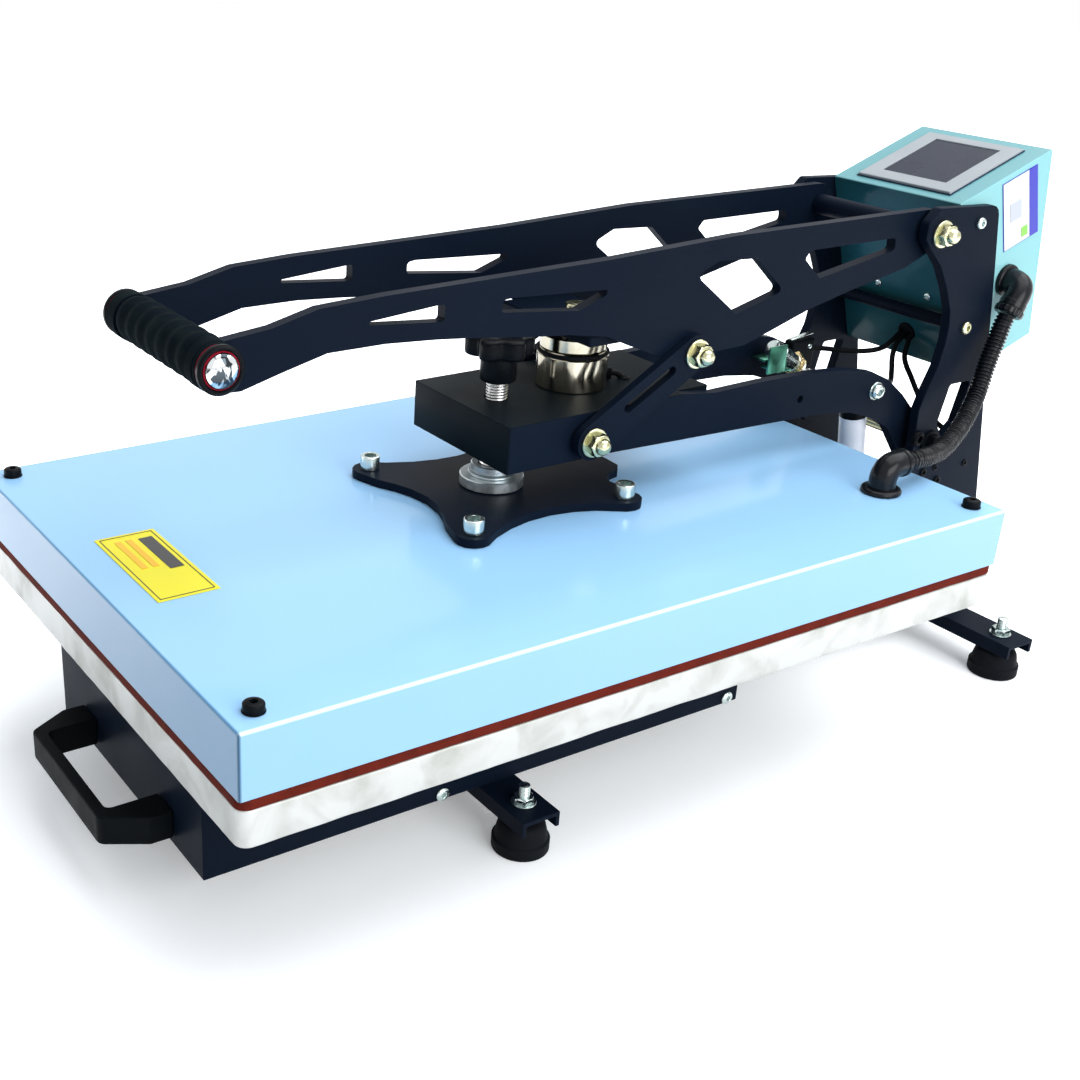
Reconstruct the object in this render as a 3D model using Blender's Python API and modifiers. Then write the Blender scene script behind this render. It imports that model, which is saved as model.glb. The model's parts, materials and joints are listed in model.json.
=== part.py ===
"""Clamshell heat press, 400 x 600 mm, with a slide-out lower platen and a magnetic hold-down.

Metres, +Z up. X runs across the press, -Y is the operator's side, and the floor is at Z = 0.
Side views are drawn from the spindle axis (y) and the heater cover's top face (z); side() turns
them into world coordinates. Everything stands at rest with the press closed and latched.
"""

import math

import bmesh
import bpy
from mathutils import Matrix, Vector

# Driving dimensions
SPINDLE_Y = -0.0843
COVER_TOP = 0.191
GAP = 0.0003
SUNK = 0.001

PLATEN_X = 0.400
PLATEN_Y = 0.600
COVER_H = 0.0412
COVER_WALL = 0.002
PAD_H = 0.0067
LOWER_PLATEN_H = 0.0235
PLATEN_CORNER = 0.008

DRAWER_HALF_X = 0.113
DRAWER_FRONT = -0.281
DRAWER_REAR = 0.154
DRAWER_BOTTOM = -0.1555
SHEET = 0.002

CROSSBAR_TOP = -0.1570
CROSSBAR_HALF_X = 0.160
CROSSBAR_W = 0.030
CROSSBAR_Y = {"front": -0.063, "rear": 0.423}
FOOT_X = 0.140
FOOT_R = 0.0195

TRAY_TOP = -0.1539
SLIDE_Z = -0.128
SLIDE_REAR = 0.150
SLIDE_L = 0.400

PLATE_T = 0.008
LEVER_X = 0.054
ARM_X = 0.0515
LINK_X = 0.0615
LINK_T = 0.006
POST_X = 0.0653
SHAFT_R = 0.005
HOLE_R = 0.0054

LEVER_PIVOT = (0.347, 0.162)
ARM_PIVOT = (0.380, -0.007)
LINK_TOP = (0.1185, 0.1015)
LINK_FOOT = (0.034, 0.052)
GRIP = (-0.2402, 0.1430)
MAGNET_Y = 0.064
ARM_TOP = 0.0696
ARM_BOTTOM = 0.037
GAS_TOP = (0.325, 0.037)
GAS_FOOT = (0.352, -0.130)
GAS_X = 0.033

BOX_HALF_X = 0.061
BOX_FRONT_TOP = (0.373, 0.180)
BOX_TILT = math.radians(19)
BOX_DEPTH = 0.1035
BOX_FOOT = 0.0765
BOX_H = 0.1475

CONDUIT_R = 0.0070
CABLE_R = 0.0022
DAMPER_X = -0.027


# Scene and materials
def clear_scene():
    for obj in list(bpy.data.objects):
        bpy.data.objects.remove(obj)
    for name, hidden in (("heat_press", False), ("cutters", True)):
        collection = bpy.data.collections.new(name)
        collection.hide_render = hidden
        bpy.context.scene.collection.children.link(collection)


def material(name, colour, roughness, metallic=0.0):
    made = bpy.data.materials.get(name) or bpy.data.materials.new(name)
    made.use_nodes = True
    shader = made.node_tree.nodes["Principled BSDF"]
    shader.inputs["Base Color"].default_value = (*colour, 1.0)
    shader.inputs["Roughness"].default_value = roughness
    shader.inputs["Metallic"].default_value = metallic
    made.diffuse_color = (*colour, 1.0)
    return made


FINISHES = {
    "black_powder_coat": ((0.018, 0.019, 0.024), 0.45, 0.0),
    "blue_enamel": ((0.32, 0.62, 0.88), 0.22, 0.0),
    "mint_enamel": ((0.36, 0.66, 0.66), 0.32, 0.0),
    "silicone_rubber": ((0.55, 0.10, 0.05), 0.60, 0.0),
    "brushed_aluminium": ((0.82, 0.82, 0.80), 0.35, 1.0),
    "black_rubber": ((0.02, 0.02, 0.02), 0.75, 0.0),
    "black_plastic": ((0.02, 0.02, 0.022), 0.40, 0.0),
    "nickel_plate": ((0.75, 0.73, 0.68), 0.15, 1.0),
    "zinc_plate": ((0.72, 0.70, 0.52), 0.25, 1.0),
    "steel": ((0.55, 0.55, 0.56), 0.30, 1.0),
    "screen_glass": ((0.05, 0.05, 0.06), 0.15, 0.0),
}


def add(name, mesh, finish, location=(0, 0, 0), rotation=(0, 0, 0), smooth=None):
    """A new object in the heat_press collection, with its finish and its shading."""
    obj = bpy.data.objects.new(name, mesh)
    obj.location = location
    obj.rotation_euler = rotation
    mesh.materials.clear()
    mesh.materials.append(material(finish, *FINISHES[finish]))
    if smooth:
        mesh.shade_smooth()
        mesh.set_sharp_from_angle(angle=math.radians(smooth))
    bpy.data.collections["heat_press"].objects.link(obj)
    return obj


def cutter(name, mesh, location=(0, 0, 0), rotation=(0, 0, 0)):
    obj = bpy.data.objects.new(name, mesh)
    obj.location = location
    obj.rotation_euler = rotation
    obj.hide_render = True
    obj.display_type = "WIRE"
    bpy.data.collections["cutters"].objects.link(obj)
    return obj


def boolean(obj, other, operation="DIFFERENCE"):
    modifier = obj.modifiers.new(f"{operation.lower()}_{other.name}", "BOOLEAN")
    modifier.operation = operation
    modifier.object = other
    return obj


# Places
def side(x, point):
    """World place of a side-view point at this x."""
    return Vector((x, SPINDLE_Y + point[0], COVER_TOP + point[1]))


def place(x, y, z):
    return side(x, (y, z))


# Meshes
def box_mesh(name, size, bevel=0.0, segments=2, upright_only=False):
    mesh = bpy.data.meshes.new(name)
    bm = bmesh.new()
    bmesh.ops.create_cube(bm, size=1.0)
    bmesh.ops.scale(bm, vec=size, verts=bm.verts)
    if bevel:
        edges = list(bm.edges)
        if upright_only:
            edges = [e for e in edges if abs(e.verts[0].co.z - e.verts[1].co.z) > 1e-6]
        bmesh.ops.bevel(
            bm, geom=edges, offset=bevel, segments=segments, profile=0.5, affect="EDGES"
        )
    bm.to_mesh(mesh)
    bm.free()
    return mesh


def cylinder_mesh(name, radius, depth, segments=20, top_radius=None):
    mesh = bpy.data.meshes.new(name)
    bm = bmesh.new()
    bmesh.ops.create_cone(
        bm,
        cap_ends=True,
        segments=segments,
        radius1=radius,
        radius2=radius if top_radius is None else top_radius,
        depth=depth,
    )
    bm.to_mesh(mesh)
    bm.free()
    return mesh


def turned(name, profile, finish, location, rotation=(0, 0, 0), steps=24):
    """A body of revolution. The profile holds (radius, height) pairs from the top down."""
    mesh = bpy.data.meshes.new(name)
    bm = bmesh.new()
    verts = [bm.verts.new((radius, 0, height)) for radius, height in profile]
    for first, second in zip(verts, verts[1:]):
        bm.edges.new((first, second))
    if profile[0][0] > 0 and profile[-1][0] > 0:
        bm.edges.new((verts[-1], verts[0]))
    bm.to_mesh(mesh)
    bm.free()
    obj = add(name, mesh, finish, location, rotation)
    screw = obj.modifiers.new("turn", "SCREW")
    screw.steps = screw.render_steps = steps
    screw.use_merge_vertices = True
    screw.merge_threshold = 0.00001
    return obj


def arc(centre, radius, start, end, count):
    """Points along an arc, in degrees, both ends included."""
    step = math.radians(end - start) / (count - 1)
    return [
        (
            centre[0] + radius * math.cos(math.radians(start) + step * i),
            centre[1] + radius * math.sin(math.radians(start) + step * i),
        )
        for i in range(count)
    ]


def circle(centre, radius, count=16):
    return arc(centre, radius, 0, 360, count + 1)[:-1]


def rounded(points, radius, count=4):
    """The same outline with each corner turned into an arc; radius is one value or one per corner."""
    radii = radius if isinstance(radius, (list, tuple)) else [radius] * len(points)
    result = []
    for i, corner in enumerate(points):
        here = Vector(corner)
        before = (Vector(points[i - 1]) - here).normalized()
        after = (Vector(points[(i + 1) % len(points)]) - here).normalized()
        half = before.angle(after) / 2
        if radii[i] <= 0 or half > math.radians(86):
            result.append(corner)
            continue
        centre = here + (before + after).normalized() * (radii[i] / math.sin(half))
        first = here + before * (radii[i] / math.tan(half)) - centre
        last = here + after * (radii[i] / math.tan(half)) - centre
        turn = first.angle_signed(last)
        for k in range(count):
            spoke = first.copy()
            angle = -turn * k / (count - 1)
            spoke.rotate(Matrix.Rotation(angle, 2))
            result.append(tuple(centre + spoke))
    return result


def stadium(first, second, radius, count=7):
    """A slot or strap outline: two half circles joined by straight sides."""
    heading = math.degrees(math.atan2(second[1] - first[1], second[0] - first[0]))
    return arc(second, radius, heading - 90, heading + 90, count) + arc(
        first, radius, heading + 90, heading + 270, count
    )


def outline_mesh(name, outline, thickness, holes=()):
    """A flat plate from a closed 2D outline with holes, centred on its own thickness."""
    curve = bpy.data.curves.new(name, "CURVE")
    curve.dimensions = "2D"
    curve.fill_mode = "BOTH"
    curve.extrude = thickness / 2
    for points in (outline, *holes):
        spline = curve.splines.new("POLY")
        spline.points.add(len(points) - 1)
        for point, (u, v) in zip(spline.points, points):
            point.co = (u, v, 0, 1)
        spline.use_cyclic_u = True
    return curve_to_mesh(name, curve)


def curve_to_mesh(name, curve):
    """The curve's surface as a closed mesh; its caps come loose and are welded here."""
    guide = bpy.data.objects.new(f"{name}_guide", curve)
    bpy.context.scene.collection.objects.link(guide)
    bpy.context.view_layer.update()
    graph = bpy.context.evaluated_depsgraph_get()
    mesh = bpy.data.meshes.new_from_object(guide.evaluated_get(graph))
    bpy.data.objects.remove(guide)
    bpy.data.curves.remove(curve)
    mesh.name = name
    bm = bmesh.new()
    bm.from_mesh(mesh)
    bmesh.ops.remove_doubles(bm, verts=bm.verts, dist=0.00002)
    bmesh.ops.recalc_face_normals(bm, faces=bm.faces)
    bm.to_mesh(mesh)
    bm.free()
    return mesh


SIDE_ON = (math.radians(90), 0, math.radians(90))


def side_plate(name, x, pivot, outline, thickness, finish, holes=()):
    """A plate standing in the YZ plane, with its origin on the pivot."""
    def local(points):
        return [(u - pivot[0], v - pivot[1]) for u, v in points]

    mesh = outline_mesh(name, local(outline), thickness, [local(hole) for hole in holes])
    return add(name, mesh, finish, side(x, pivot), SIDE_ON)


def tube_mesh(name, points, radius, resolution=3):
    """A round tube along the points."""
    curve = bpy.data.curves.new(name, "CURVE")
    curve.dimensions = "3D"
    curve.bevel_depth = radius
    curve.bevel_resolution = resolution
    curve.use_fill_caps = True
    spline = curve.splines.new("POLY")
    spline.points.add(len(points) - 1)
    for point, co in zip(spline.points, points):
        point.co = (*co, 1)
    return curve_to_mesh(name, curve)


def smooth_route(points, count):
    """Points at even parameter steps on a Catmull-Rom curve through the route's own points."""
    route = [Vector(p) for p in points]
    padded = [route[0] * 2 - route[1], *route, route[-1] * 2 - route[-2]]
    spans = len(route) - 1
    result = []
    for i in range(count):
        at = i * spans / (count - 1)
        k = min(int(at), spans - 1)
        t = at - k
        p0, p1, p2, p3 = padded[k : k + 4]
        result.append(
            0.5
            * (
                2 * p1
                + (p2 - p0) * t
                + (2 * p0 - 5 * p1 + 4 * p2 - p3) * t**2
                + (3 * p1 - p0 - 3 * p2 + p3) * t**3
            )
        )
    return result


def pair():
    return (("left", -1), ("right", 1))


# Base and drawer
def make_feet():
    floor = -COVER_TOP
    stud_top = CROSSBAR_TOP + 0.014
    profile = [
        (0, stud_top),
        (0.004, stud_top),
        (0.004, floor + 0.0225),
        (FOOT_R - 0.006, floor + 0.0225),
        (FOOT_R - 0.003, floor + 0.0195),
        (FOOT_R, floor + 0.006),
        (FOOT_R - 0.001, floor),
        (0, floor),
    ]
    for end, y in CROSSBAR_Y.items():
        for hand, sign in pair():
            turned(
                f"foot_{end}_{hand}", profile, "black_rubber", place(sign * FOOT_X, y, 0), steps=20
            )


def make_crossbars():
    """Inverted U channels that carry the feet."""
    half, drop, wall = CROSSBAR_W / 2, 0.011, 0.003
    for end, y in CROSSBAR_Y.items():
        channel = [
            (-half, 0),
            (-half, -drop),
            (wall - half, -drop),
            (wall - half, -wall),
            (half - wall, -wall),
            (half - wall, -drop),
            (half, -drop),
            (half, 0),
        ]
        mesh = outline_mesh(f"crossbar_{end}", channel, 2 * CROSSBAR_HALF_X)
        bar = add(
            f"crossbar_{end}", mesh, "black_powder_coat", place(0, y, CROSSBAR_TOP), SIDE_ON
        )
        for hand, sign in pair():
            hole = cutter(
                f"stud_hole_{end}_{hand}",
                cylinder_mesh("stud_hole", 0.0045, 0.02, 16),
                place(sign * FOOT_X, y, CROSSBAR_TOP),
            )
            boolean(bar, hole)


def make_base_tray():
    """Sheet floor: wide under the drawer, narrow behind, with two flanges that carry the slides."""
    wide, narrow = 0.092, 0.0595
    rear = 0.452
    thickness = TRAY_TOP - CROSSBAR_TOP - GAP
    middle = TRAY_TOP - thickness / 2
    outline = rounded(
        [
            (-wide, -0.252),
            (wide, -0.252),
            (wide, SLIDE_REAR),
            (narrow, SLIDE_REAR + 0.03),
            (narrow, rear),
            (-narrow, rear),
            (-narrow, SLIDE_REAR + 0.03),
            (-wide, SLIDE_REAR),
        ],
        0.004,
    )
    floor = add(
        "base_tray",
        outline_mesh("base_tray", outline, thickness),
        "black_powder_coat",
        place(0, 0, middle),
    )
    flange_top = -0.098
    height = flange_top - TRAY_TOP + SUNK
    for hand, sign in pair():
        flange = cutter(
            f"tray_flange_{hand}",
            box_mesh("tray_flange", (0.0025, SLIDE_REAR + 0.246, height)),
            place(sign * (wide - 0.00175), (SLIDE_REAR - 0.25) / 2, flange_top - height / 2),
        )
        boolean(floor, flange, "UNION")
    lug_height = 0.036
    lug = cutter(
        "gas_spring_lug",
        box_mesh("gas_spring_lug", (0.007, 0.030, lug_height)),
        place(GAS_X + 0.0120, GAS_FOOT[0], TRAY_TOP - SUNK + lug_height / 2),
    )
    boolean(floor, lug, "UNION")


def c_channel(width, height, wall):
    """A C section with its web at u = 0 and its mouth at u = width."""
    h = height / 2
    return [
        (0, -h),
        (width, -h),
        (width, wall - h),
        (wall, wall - h),
        (wall, h - wall),
        (width, h - wall),
        (width, h),
        (0, h),
    ]


def make_slides():
    """Three-part telescopic slides: fixed outer, middle and drawer members, one inside another."""
    wall = 0.0015
    members = (
        ("slide_outer", 0.0923, 0.0140, 0.044, 1),
        ("slide_middle", 0.0942, 0.0135, 0.040, 1),
        ("slide_inner", 0.1107, 0.0140, 0.036, -1),
    )
    for label, x, width, height, mouth in members:
        for hand, sign in pair():
            section = [(u * mouth * sign, v) for u, v in c_channel(width, height, wall)]
            mesh = outline_mesh(f"{label}_{hand}", section, SLIDE_L)
            add(
                f"{label}_{hand}",
                mesh,
                "steel",
                place(sign * x, SLIDE_REAR - SLIDE_L / 2, SLIDE_Z),
                (math.radians(90), 0, 0),
            )


def make_drawer_box():
    """Folded sheet cover under the lower platen, open below and behind."""
    top = -COVER_H - PAD_H - LOWER_PLATEN_H - 3 * GAP
    height = top - DRAWER_BOTTOM
    length = DRAWER_REAR - DRAWER_FRONT
    mesh = bpy.data.meshes.new("drawer_box")
    bm = bmesh.new()
    bmesh.ops.create_cube(bm, size=1.0)
    bmesh.ops.scale(bm, vec=(2 * DRAWER_HALF_X, length, height), verts=bm.verts)
    open_faces = [f for f in bm.faces if f.normal.z < -0.5 or f.normal.y > 0.5]
    bmesh.ops.delete(bm, geom=open_faces, context="FACES")
    bm.to_mesh(mesh)
    bm.free()
    centre = place(0, (DRAWER_REAR + DRAWER_FRONT) / 2, top - height / 2)
    shell = add("drawer_box", mesh, "black_powder_coat", centre)
    solidify = shell.modifiers.new("sheet", "SOLIDIFY")
    solidify.thickness = SHEET
    solidify.offset = -1
    solidify.use_even_offset = True


def make_drawer_handle():
    """A flat D handle with solid splayed roots, bolted to the drawer's front."""
    reach, bar, grip_half, root_half, inner_half = 0.0430, 0.0085, 0.057, 0.0725, 0.050
    outer = [
        (-root_half, 0),
        (-root_half, -0.0155),
        (-grip_half, -reach),
        (grip_half, -reach),
        (root_half, -0.0155),
        (root_half, 0),
    ]
    inner = [
        (-inner_half, 0),
        (-inner_half, bar - reach),
        (inner_half, bar - reach),
        (inner_half, 0),
    ]
    outline = rounded(outer, [0, 0.004, 0.006, 0.006, 0.004, 0]) + rounded(
        inner, [0, 0.004, 0.004, 0]
    )[::-1]
    mesh = outline_mesh("drawer_handle", outline, 0.0200)
    add("drawer_handle", mesh, "black_plastic", place(0, DRAWER_FRONT - GAP, -0.1392))


def make_platens():
    plan = [
        (-PLATEN_X / 2, -PLATEN_Y / 2),
        (PLATEN_X / 2, -PLATEN_Y / 2),
        (PLATEN_X / 2, PLATEN_Y / 2),
        (-PLATEN_X / 2, PLATEN_Y / 2),
    ]
    outline = rounded(plan, PLATEN_CORNER, 6)
    pad_mid = -COVER_H - GAP - PAD_H / 2
    lower_mid = -COVER_H - 2 * GAP - PAD_H - LOWER_PLATEN_H / 2
    add(
        "silicone_pad",
        outline_mesh("silicone_pad", outline, PAD_H),
        "silicone_rubber",
        place(0, 0, pad_mid),
    )
    add(
        "lower_platen",
        outline_mesh("lower_platen", outline, LOWER_PLATEN_H),
        "brushed_aluminium",
        place(0, 0, lower_mid),
    )
    inset = COVER_WALL + GAP
    inner = rounded([(u - math.copysign(inset, u), v - math.copysign(inset, v)) for u, v in plan], 0.003)
    add(
        "heating_platen",
        outline_mesh("heating_platen", inner, 0.014),
        "brushed_aluminium",
        place(0, 0, -COVER_H + 0.007),
    )


def make_heater_cover():
    """Folded sheet cover over the heating platen, open below."""
    mesh = bpy.data.meshes.new("heater_cover")
    bm = bmesh.new()
    bmesh.ops.create_cube(bm, size=1.0)
    bmesh.ops.scale(bm, vec=(PLATEN_X, PLATEN_Y, COVER_H), verts=bm.verts)
    bmesh.ops.delete(bm, geom=[f for f in bm.faces if f.normal.z < -0.5], context="FACES")
    edges = [e for e in bm.edges if len(e.link_faces) == 2]
    bmesh.ops.bevel(bm, geom=edges, offset=0.0025, segments=3, profile=0.5, affect="EDGES")
    bm.to_mesh(mesh)
    bm.free()
    shell = add("heater_cover", mesh, "blue_enamel", place(0, 0, -COVER_H / 2), smooth=40)
    solidify = shell.modifiers.new("sheet", "SOLIDIFY")
    solidify.thickness = COVER_WALL
    solidify.offset = -1
    solidify.use_even_offset = True


# Upper platen's fittings
SPIDER_X, SPIDER_FRONT, SPIDER_REAR = 0.0640, -0.0605, 0.0670
SPIDER_T = 0.006


def make_spider_plate():
    """Four-armed mounting plate with hollowed sides and a rear tab; one half is drawn."""
    tip = 0.0125
    scoop = [(0, -0.0535), (0.0170, -0.0558), (0.0300, -0.0605), (0.0420, -0.0668)]
    flank = [(0.0680, -0.0440), (0.0605, -0.0260), (0.0563, -0.0080), (0.0553, 0.0100)]
    flank += [(0.0580, 0.0280), (0.0635, 0.0430)]
    tab = [(0.0480, 0.0785), (0.0370, 0.0770), (0.0300, 0.0800), (0.0240, 0.0880), (0.0220, 0.0970)]
    tab += [(0.0150, 0.1030), (0, 0.1040)]
    half = scoop + arc((SPIDER_X, SPIDER_FRONT), tip, -110, 25, 6) + flank
    half += arc((SPIDER_X, SPIDER_REAR), tip, -25, 110, 6) + tab
    outline = half + [(-u, v) for u, v in half[-2:0:-1]]
    holes = [circle((sx * SPIDER_X, y), 0.0042, 10) for sx in (1, -1) for y in (SPIDER_FRONT, SPIDER_REAR)]
    mesh = outline_mesh("spider_plate", outline, SPIDER_T, holes)
    add("spider_plate", mesh, "black_powder_coat", place(0, 0, GAP + SPIDER_T / 2))


def make_spindle():
    collar_z = SPIDER_T + 2 * GAP
    turned(
        "thrust_collar",
        [
            (0.0100, 0.016),
            (0.0150, 0.016),
            (0.0150, 0.008),
            (0.0225, 0.008),
            (0.0225, 0.0),
            (0.0100, 0.0),
        ],
        "steel",
        place(0, 0, collar_z),
    )
    turned(
        "spindle",
        [
            (0, 0.100),
            (0.0078, 0.100),
            (0.0078, 0.018),
            (0.0096, 0.018),
            (0.0096, 0.0008),
            (0, 0.0008),
        ],
        "steel",
        place(0, 0, collar_z),
    )


def make_pressure_knob():
    """Six-lobed knob on the spindle's top, with a round neck."""
    lobes, outline = 6, []
    for i in range(48):
        angle = 2 * math.pi * i / 48
        radius = 0.0215 + 0.0022 * math.cos(lobes * angle)
        outline.append((radius * math.cos(angle), radius * math.sin(angle)))
    bore = circle((0, 0), 0.0081, 16)
    head = add(
        "pressure_knob",
        outline_mesh("pressure_knob", outline, 0.014, [bore]),
        "black_plastic",
        place(0, 0, 0.1045),
    )
    neck = cutter("knob_neck", outline_mesh("knob_neck", circle((0, 0), 0.0125, 20), 0.0165, [bore]))
    neck.location = place(0, 0, 0.0902)
    boolean(head, neck, "UNION")
    cap = cutter("knob_cap", cylinder_mesh("knob_cap", 0.012, 0.003, 20), place(0, 0, 0.1125))
    boolean(head, cap, "UNION")


def make_cover_gland():
    """Right-angle gland on the heater cover, its mouth facing the rear."""
    x, y = 0.1335, 0.2475
    route = [(x, y, 0.001), (x, y, 0.0088)]
    route += [(x, y + 0.010 + v, 0.0088 + u) for u, v in _bend(0.010)]
    route += [(x, y + 0.0190, 0.0188)]
    elbow = tube_mesh("cover_gland", [place(*p) for p in route], 0.0096, 4)
    obj = add("cover_gland", elbow, "black_plastic")
    flange = cutter("cover_gland_flange", cylinder_mesh("flange", 0.0142, 0.004, 24))
    flange.location = place(x, y, GAP + 0.002)
    boolean(obj, flange, "UNION")


def _bend(radius, count=5):
    """A quarter turn from straight up to straight back, as (rise, back) offsets."""
    return [
        (radius * math.sin(a), -radius * math.cos(a))
        for a in (math.pi / 2 * i / (count - 1) for i in range(1, count))
    ]


# Press arm
def make_press_arm():
    front = -0.029
    top = [(0.150, 0.0660), (0.199, 0.0670), (0.248, 0.0660), (0.287, 0.0630), (0.315, 0.0570)]
    crown = [(0.335, 0.0480), (0.355, 0.0330), (0.372, 0.0170)]
    heel = arc(ARM_PIVOT, 0.020, 50, -150, 9)
    under = [(0.344, 0.0070), (0.324, 0.0180), (0.298, 0.0270), (0.265, 0.0315), (0.222, 0.0330)]
    outline = [(front, ARM_TOP), (0.120, ARM_TOP), *top, *crown, *heel, *under]
    outline += [(0.180, 0.0340), (0.062, ARM_BOTTOM), (front, ARM_BOTTOM)]
    for hand, sign in pair():
        side_plate(
            f"arm_plate_{hand}",
            sign * ARM_X,
            ARM_PIVOT,
            outline,
            PLATE_T,
            "black_powder_coat",
            [circle(ARM_PIVOT, HOLE_R, 14), circle((0.239, 0.047), 0.003, 8)],
        )
    half = ARM_X - PLATE_T / 2 - GAP
    wall = 0.008
    section = [
        (0.150, ARM_TOP),
        (front, ARM_TOP),
        (front, ARM_BOTTOM),
        (0.052, ARM_BOTTOM),
        (0.052, ARM_BOTTOM + wall),
        (front + wall, ARM_BOTTOM + wall),
        (front + wall, ARM_TOP - wall),
        (0.150, ARM_TOP - wall),
    ]
    block = side_plate("press_block", 0, (0, 0), section, 2 * half, "black_powder_coat")
    boss_hole = cutter(
        "spindle_bore",
        cylinder_mesh("spindle_bore", 0.0083, 0.06, 24),
        place(0, 0, (ARM_TOP + ARM_BOTTOM) / 2),
    )
    boolean(block, boss_hole)
    turned(
        "electromagnet",
        [(0, 0.0270), (0.0235, 0.0270), (0.0250, 0.0255), (0.0250, 0.0), (0, 0.0)],
        "nickel_plate",
        place(0, MAGNET_Y, ARM_TOP + GAP),
        steps=32,
    )
    arm_shaft = turned(
        "arm_shaft", shaft_profile(POST_X + PLATE_T / 2), "zinc_plate", side(0, ARM_PIVOT)
    )
    arm_shaft.rotation_euler = (0, math.radians(90), 0)


def shaft_profile(reach):
    """A pivot shaft along its axis, with a cap nut outside the plate at each end."""
    half = [
        (0.0035, reach + 0.0150),
        (0.0060, reach + 0.0125),
        (0.0068, reach + 0.0095),
        (0.0085, reach + 0.0090),
        (0.0085, reach + 0.0020),
        (0.0105, reach + 0.0020),
        (0.0105, reach + GAP),
        (SHAFT_R, reach + GAP),
    ]
    return [(0, half[0][1]), *half, *[(r, -z) for r, z in reversed(half)], (0, -half[0][1])]


# Lever
def make_lever():
    nose = arc(GRIP, 0.0143, 240, 65, 10)
    top = [(-0.2040, 0.1592), (-0.1733, 0.1667), (-0.1290, 0.1690), (0.0375, 0.1724), (0.1508, 0.1774)]
    tail = arc(LEVER_PIVOT, 0.0160, 90, -75, 9)
    under = [(0.3268, 0.1364), (0.2692, 0.1255), (0.2294, 0.1166), (0.1916, 0.1050), (0.1690, 0.0985)]
    under += arc(LINK_TOP, 0.0150, -15, -150, 6)
    under += [(0.0775, 0.1070), (0.0633, 0.1126), (0.0435, 0.1215), (0.0106, 0.1270), (-0.0172, 0.1295)]
    under += [(-0.0600, 0.1347), (-0.0928, 0.1378), (-0.1286, 0.1400), (-0.1680, 0.1398)]
    under += [(-0.1980, 0.1324), (-0.2240, 0.1254), (-0.2330, 0.1258)]
    outline = nose + top + [(0.2433, 0.1784)] + tail + under
    windows = [
        rounded([(-0.1534, 0.1538), (-0.0868, 0.1593), (-0.0868, 0.1482)], [0.0012, 0.002, 0.002]),
        rounded(
            [
                (-0.0440, 0.1484),
                (-0.0440, 0.1561),
                (-0.0371, 0.1568),
                (0.0405, 0.1533),
                (0.0385, 0.1494),
                (0.0176, 0.1422),
            ],
            [0.002, 0.003, 0, 0.0015, 0.0015, 0.004],
        ),
        rounded(
            [(0.1170, 0.1533), (0.1349, 0.1615), (0.1717, 0.1598), (0.2016, 0.1337), (0.1578, 0.1225)],
            0.003,
        ),
        rounded(
            [(0.2185, 0.1543), (0.2234, 0.1599), (0.3109, 0.1603), (0.3119, 0.1514), (0.2364, 0.1386)],
            [0.002, 0.003, 0.003, 0.003, 0.003],
        ),
        circle(LEVER_PIVOT, HOLE_R, 14),
        circle(LINK_TOP, HOLE_R, 14),
        circle(GRIP, 0.0109, 18),
    ]
    for hand, sign in pair():
        side_plate(
            f"lever_plate_{hand}",
            sign * LEVER_X,
            LEVER_PIVOT,
            outline,
            PLATE_T,
            "black_powder_coat",
            windows,
        )
    boss = LEVER_X + PLATE_T / 2 + GAP
    lever_shaft = turned(
        "lever_shaft", shaft_profile(POST_X + PLATE_T / 2), "zinc_plate", side(0, LEVER_PIVOT)
    )
    lever_shaft.rotation_euler = (0, math.radians(90), 0)
    inner = LEVER_X - PLATE_T / 2 - GAP
    sleeve = turned(
        "lever_sleeve",
        [(SHAFT_R + GAP, inner), (0.0080, inner), (0.0080, -inner), (SHAFT_R + GAP, -inner)],
        "black_powder_coat",
        side(0, LEVER_PIVOT),
    )
    sleeve.rotation_euler = (0, math.radians(90), 0)
    end = [(0, 0.0680), (0.0100, 0.0668), (0.0145, 0.0637), (0.0145, boss), (0.0105, boss)]
    tube = turned(
        "grip_tube", end + [(r, -z) for r, z in reversed(end)], "steel", side(0, GRIP)
    )
    tube.rotation_euler = (0, math.radians(90), 0)
    grip = turned("grip_sleeve", grip_profile(inner - 0.0005), "black_rubber", side(0, GRIP))
    grip.rotation_euler = (0, math.radians(90), 0)


def grip_profile(half):
    """A foam sleeve whose outside swells in shallow rings."""
    grooves = 7
    steps = 4 * grooves
    ripple = []
    for i in range(steps + 1):
        along = half - 2 * half * i / steps
        ripple.append((0.0143 - 0.0007 * math.cos(grooves * 2 * math.pi * i / steps), along))
    return [(0.0108, half), *ripple, (0.0108, -half)]


def make_armature():
    """Steel keeper that the magnet holds, hung from a bridge between the lever plates."""
    face = ARM_TOP + GAP + 0.0270 + GAP
    turned(
        "armature",
        [(0, 0.0150), (0.0090, 0.0150), (0.0090, 0.0100), (0.0235, 0.0100), (0.0235, 0), (0, 0)],
        "nickel_plate",
        place(0, MAGNET_Y, face),
        steps=32,
    )
    half = LEVER_X - PLATE_T / 2 - GAP
    low = face + 0.0150 + GAP
    add(
        "armature_bridge",
        box_mesh("armature_bridge", (2 * half, 0.056, 0.008), 0.001, 1),
        "black_powder_coat",
        place(0, MAGNET_Y, low + 0.004),
    )


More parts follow.
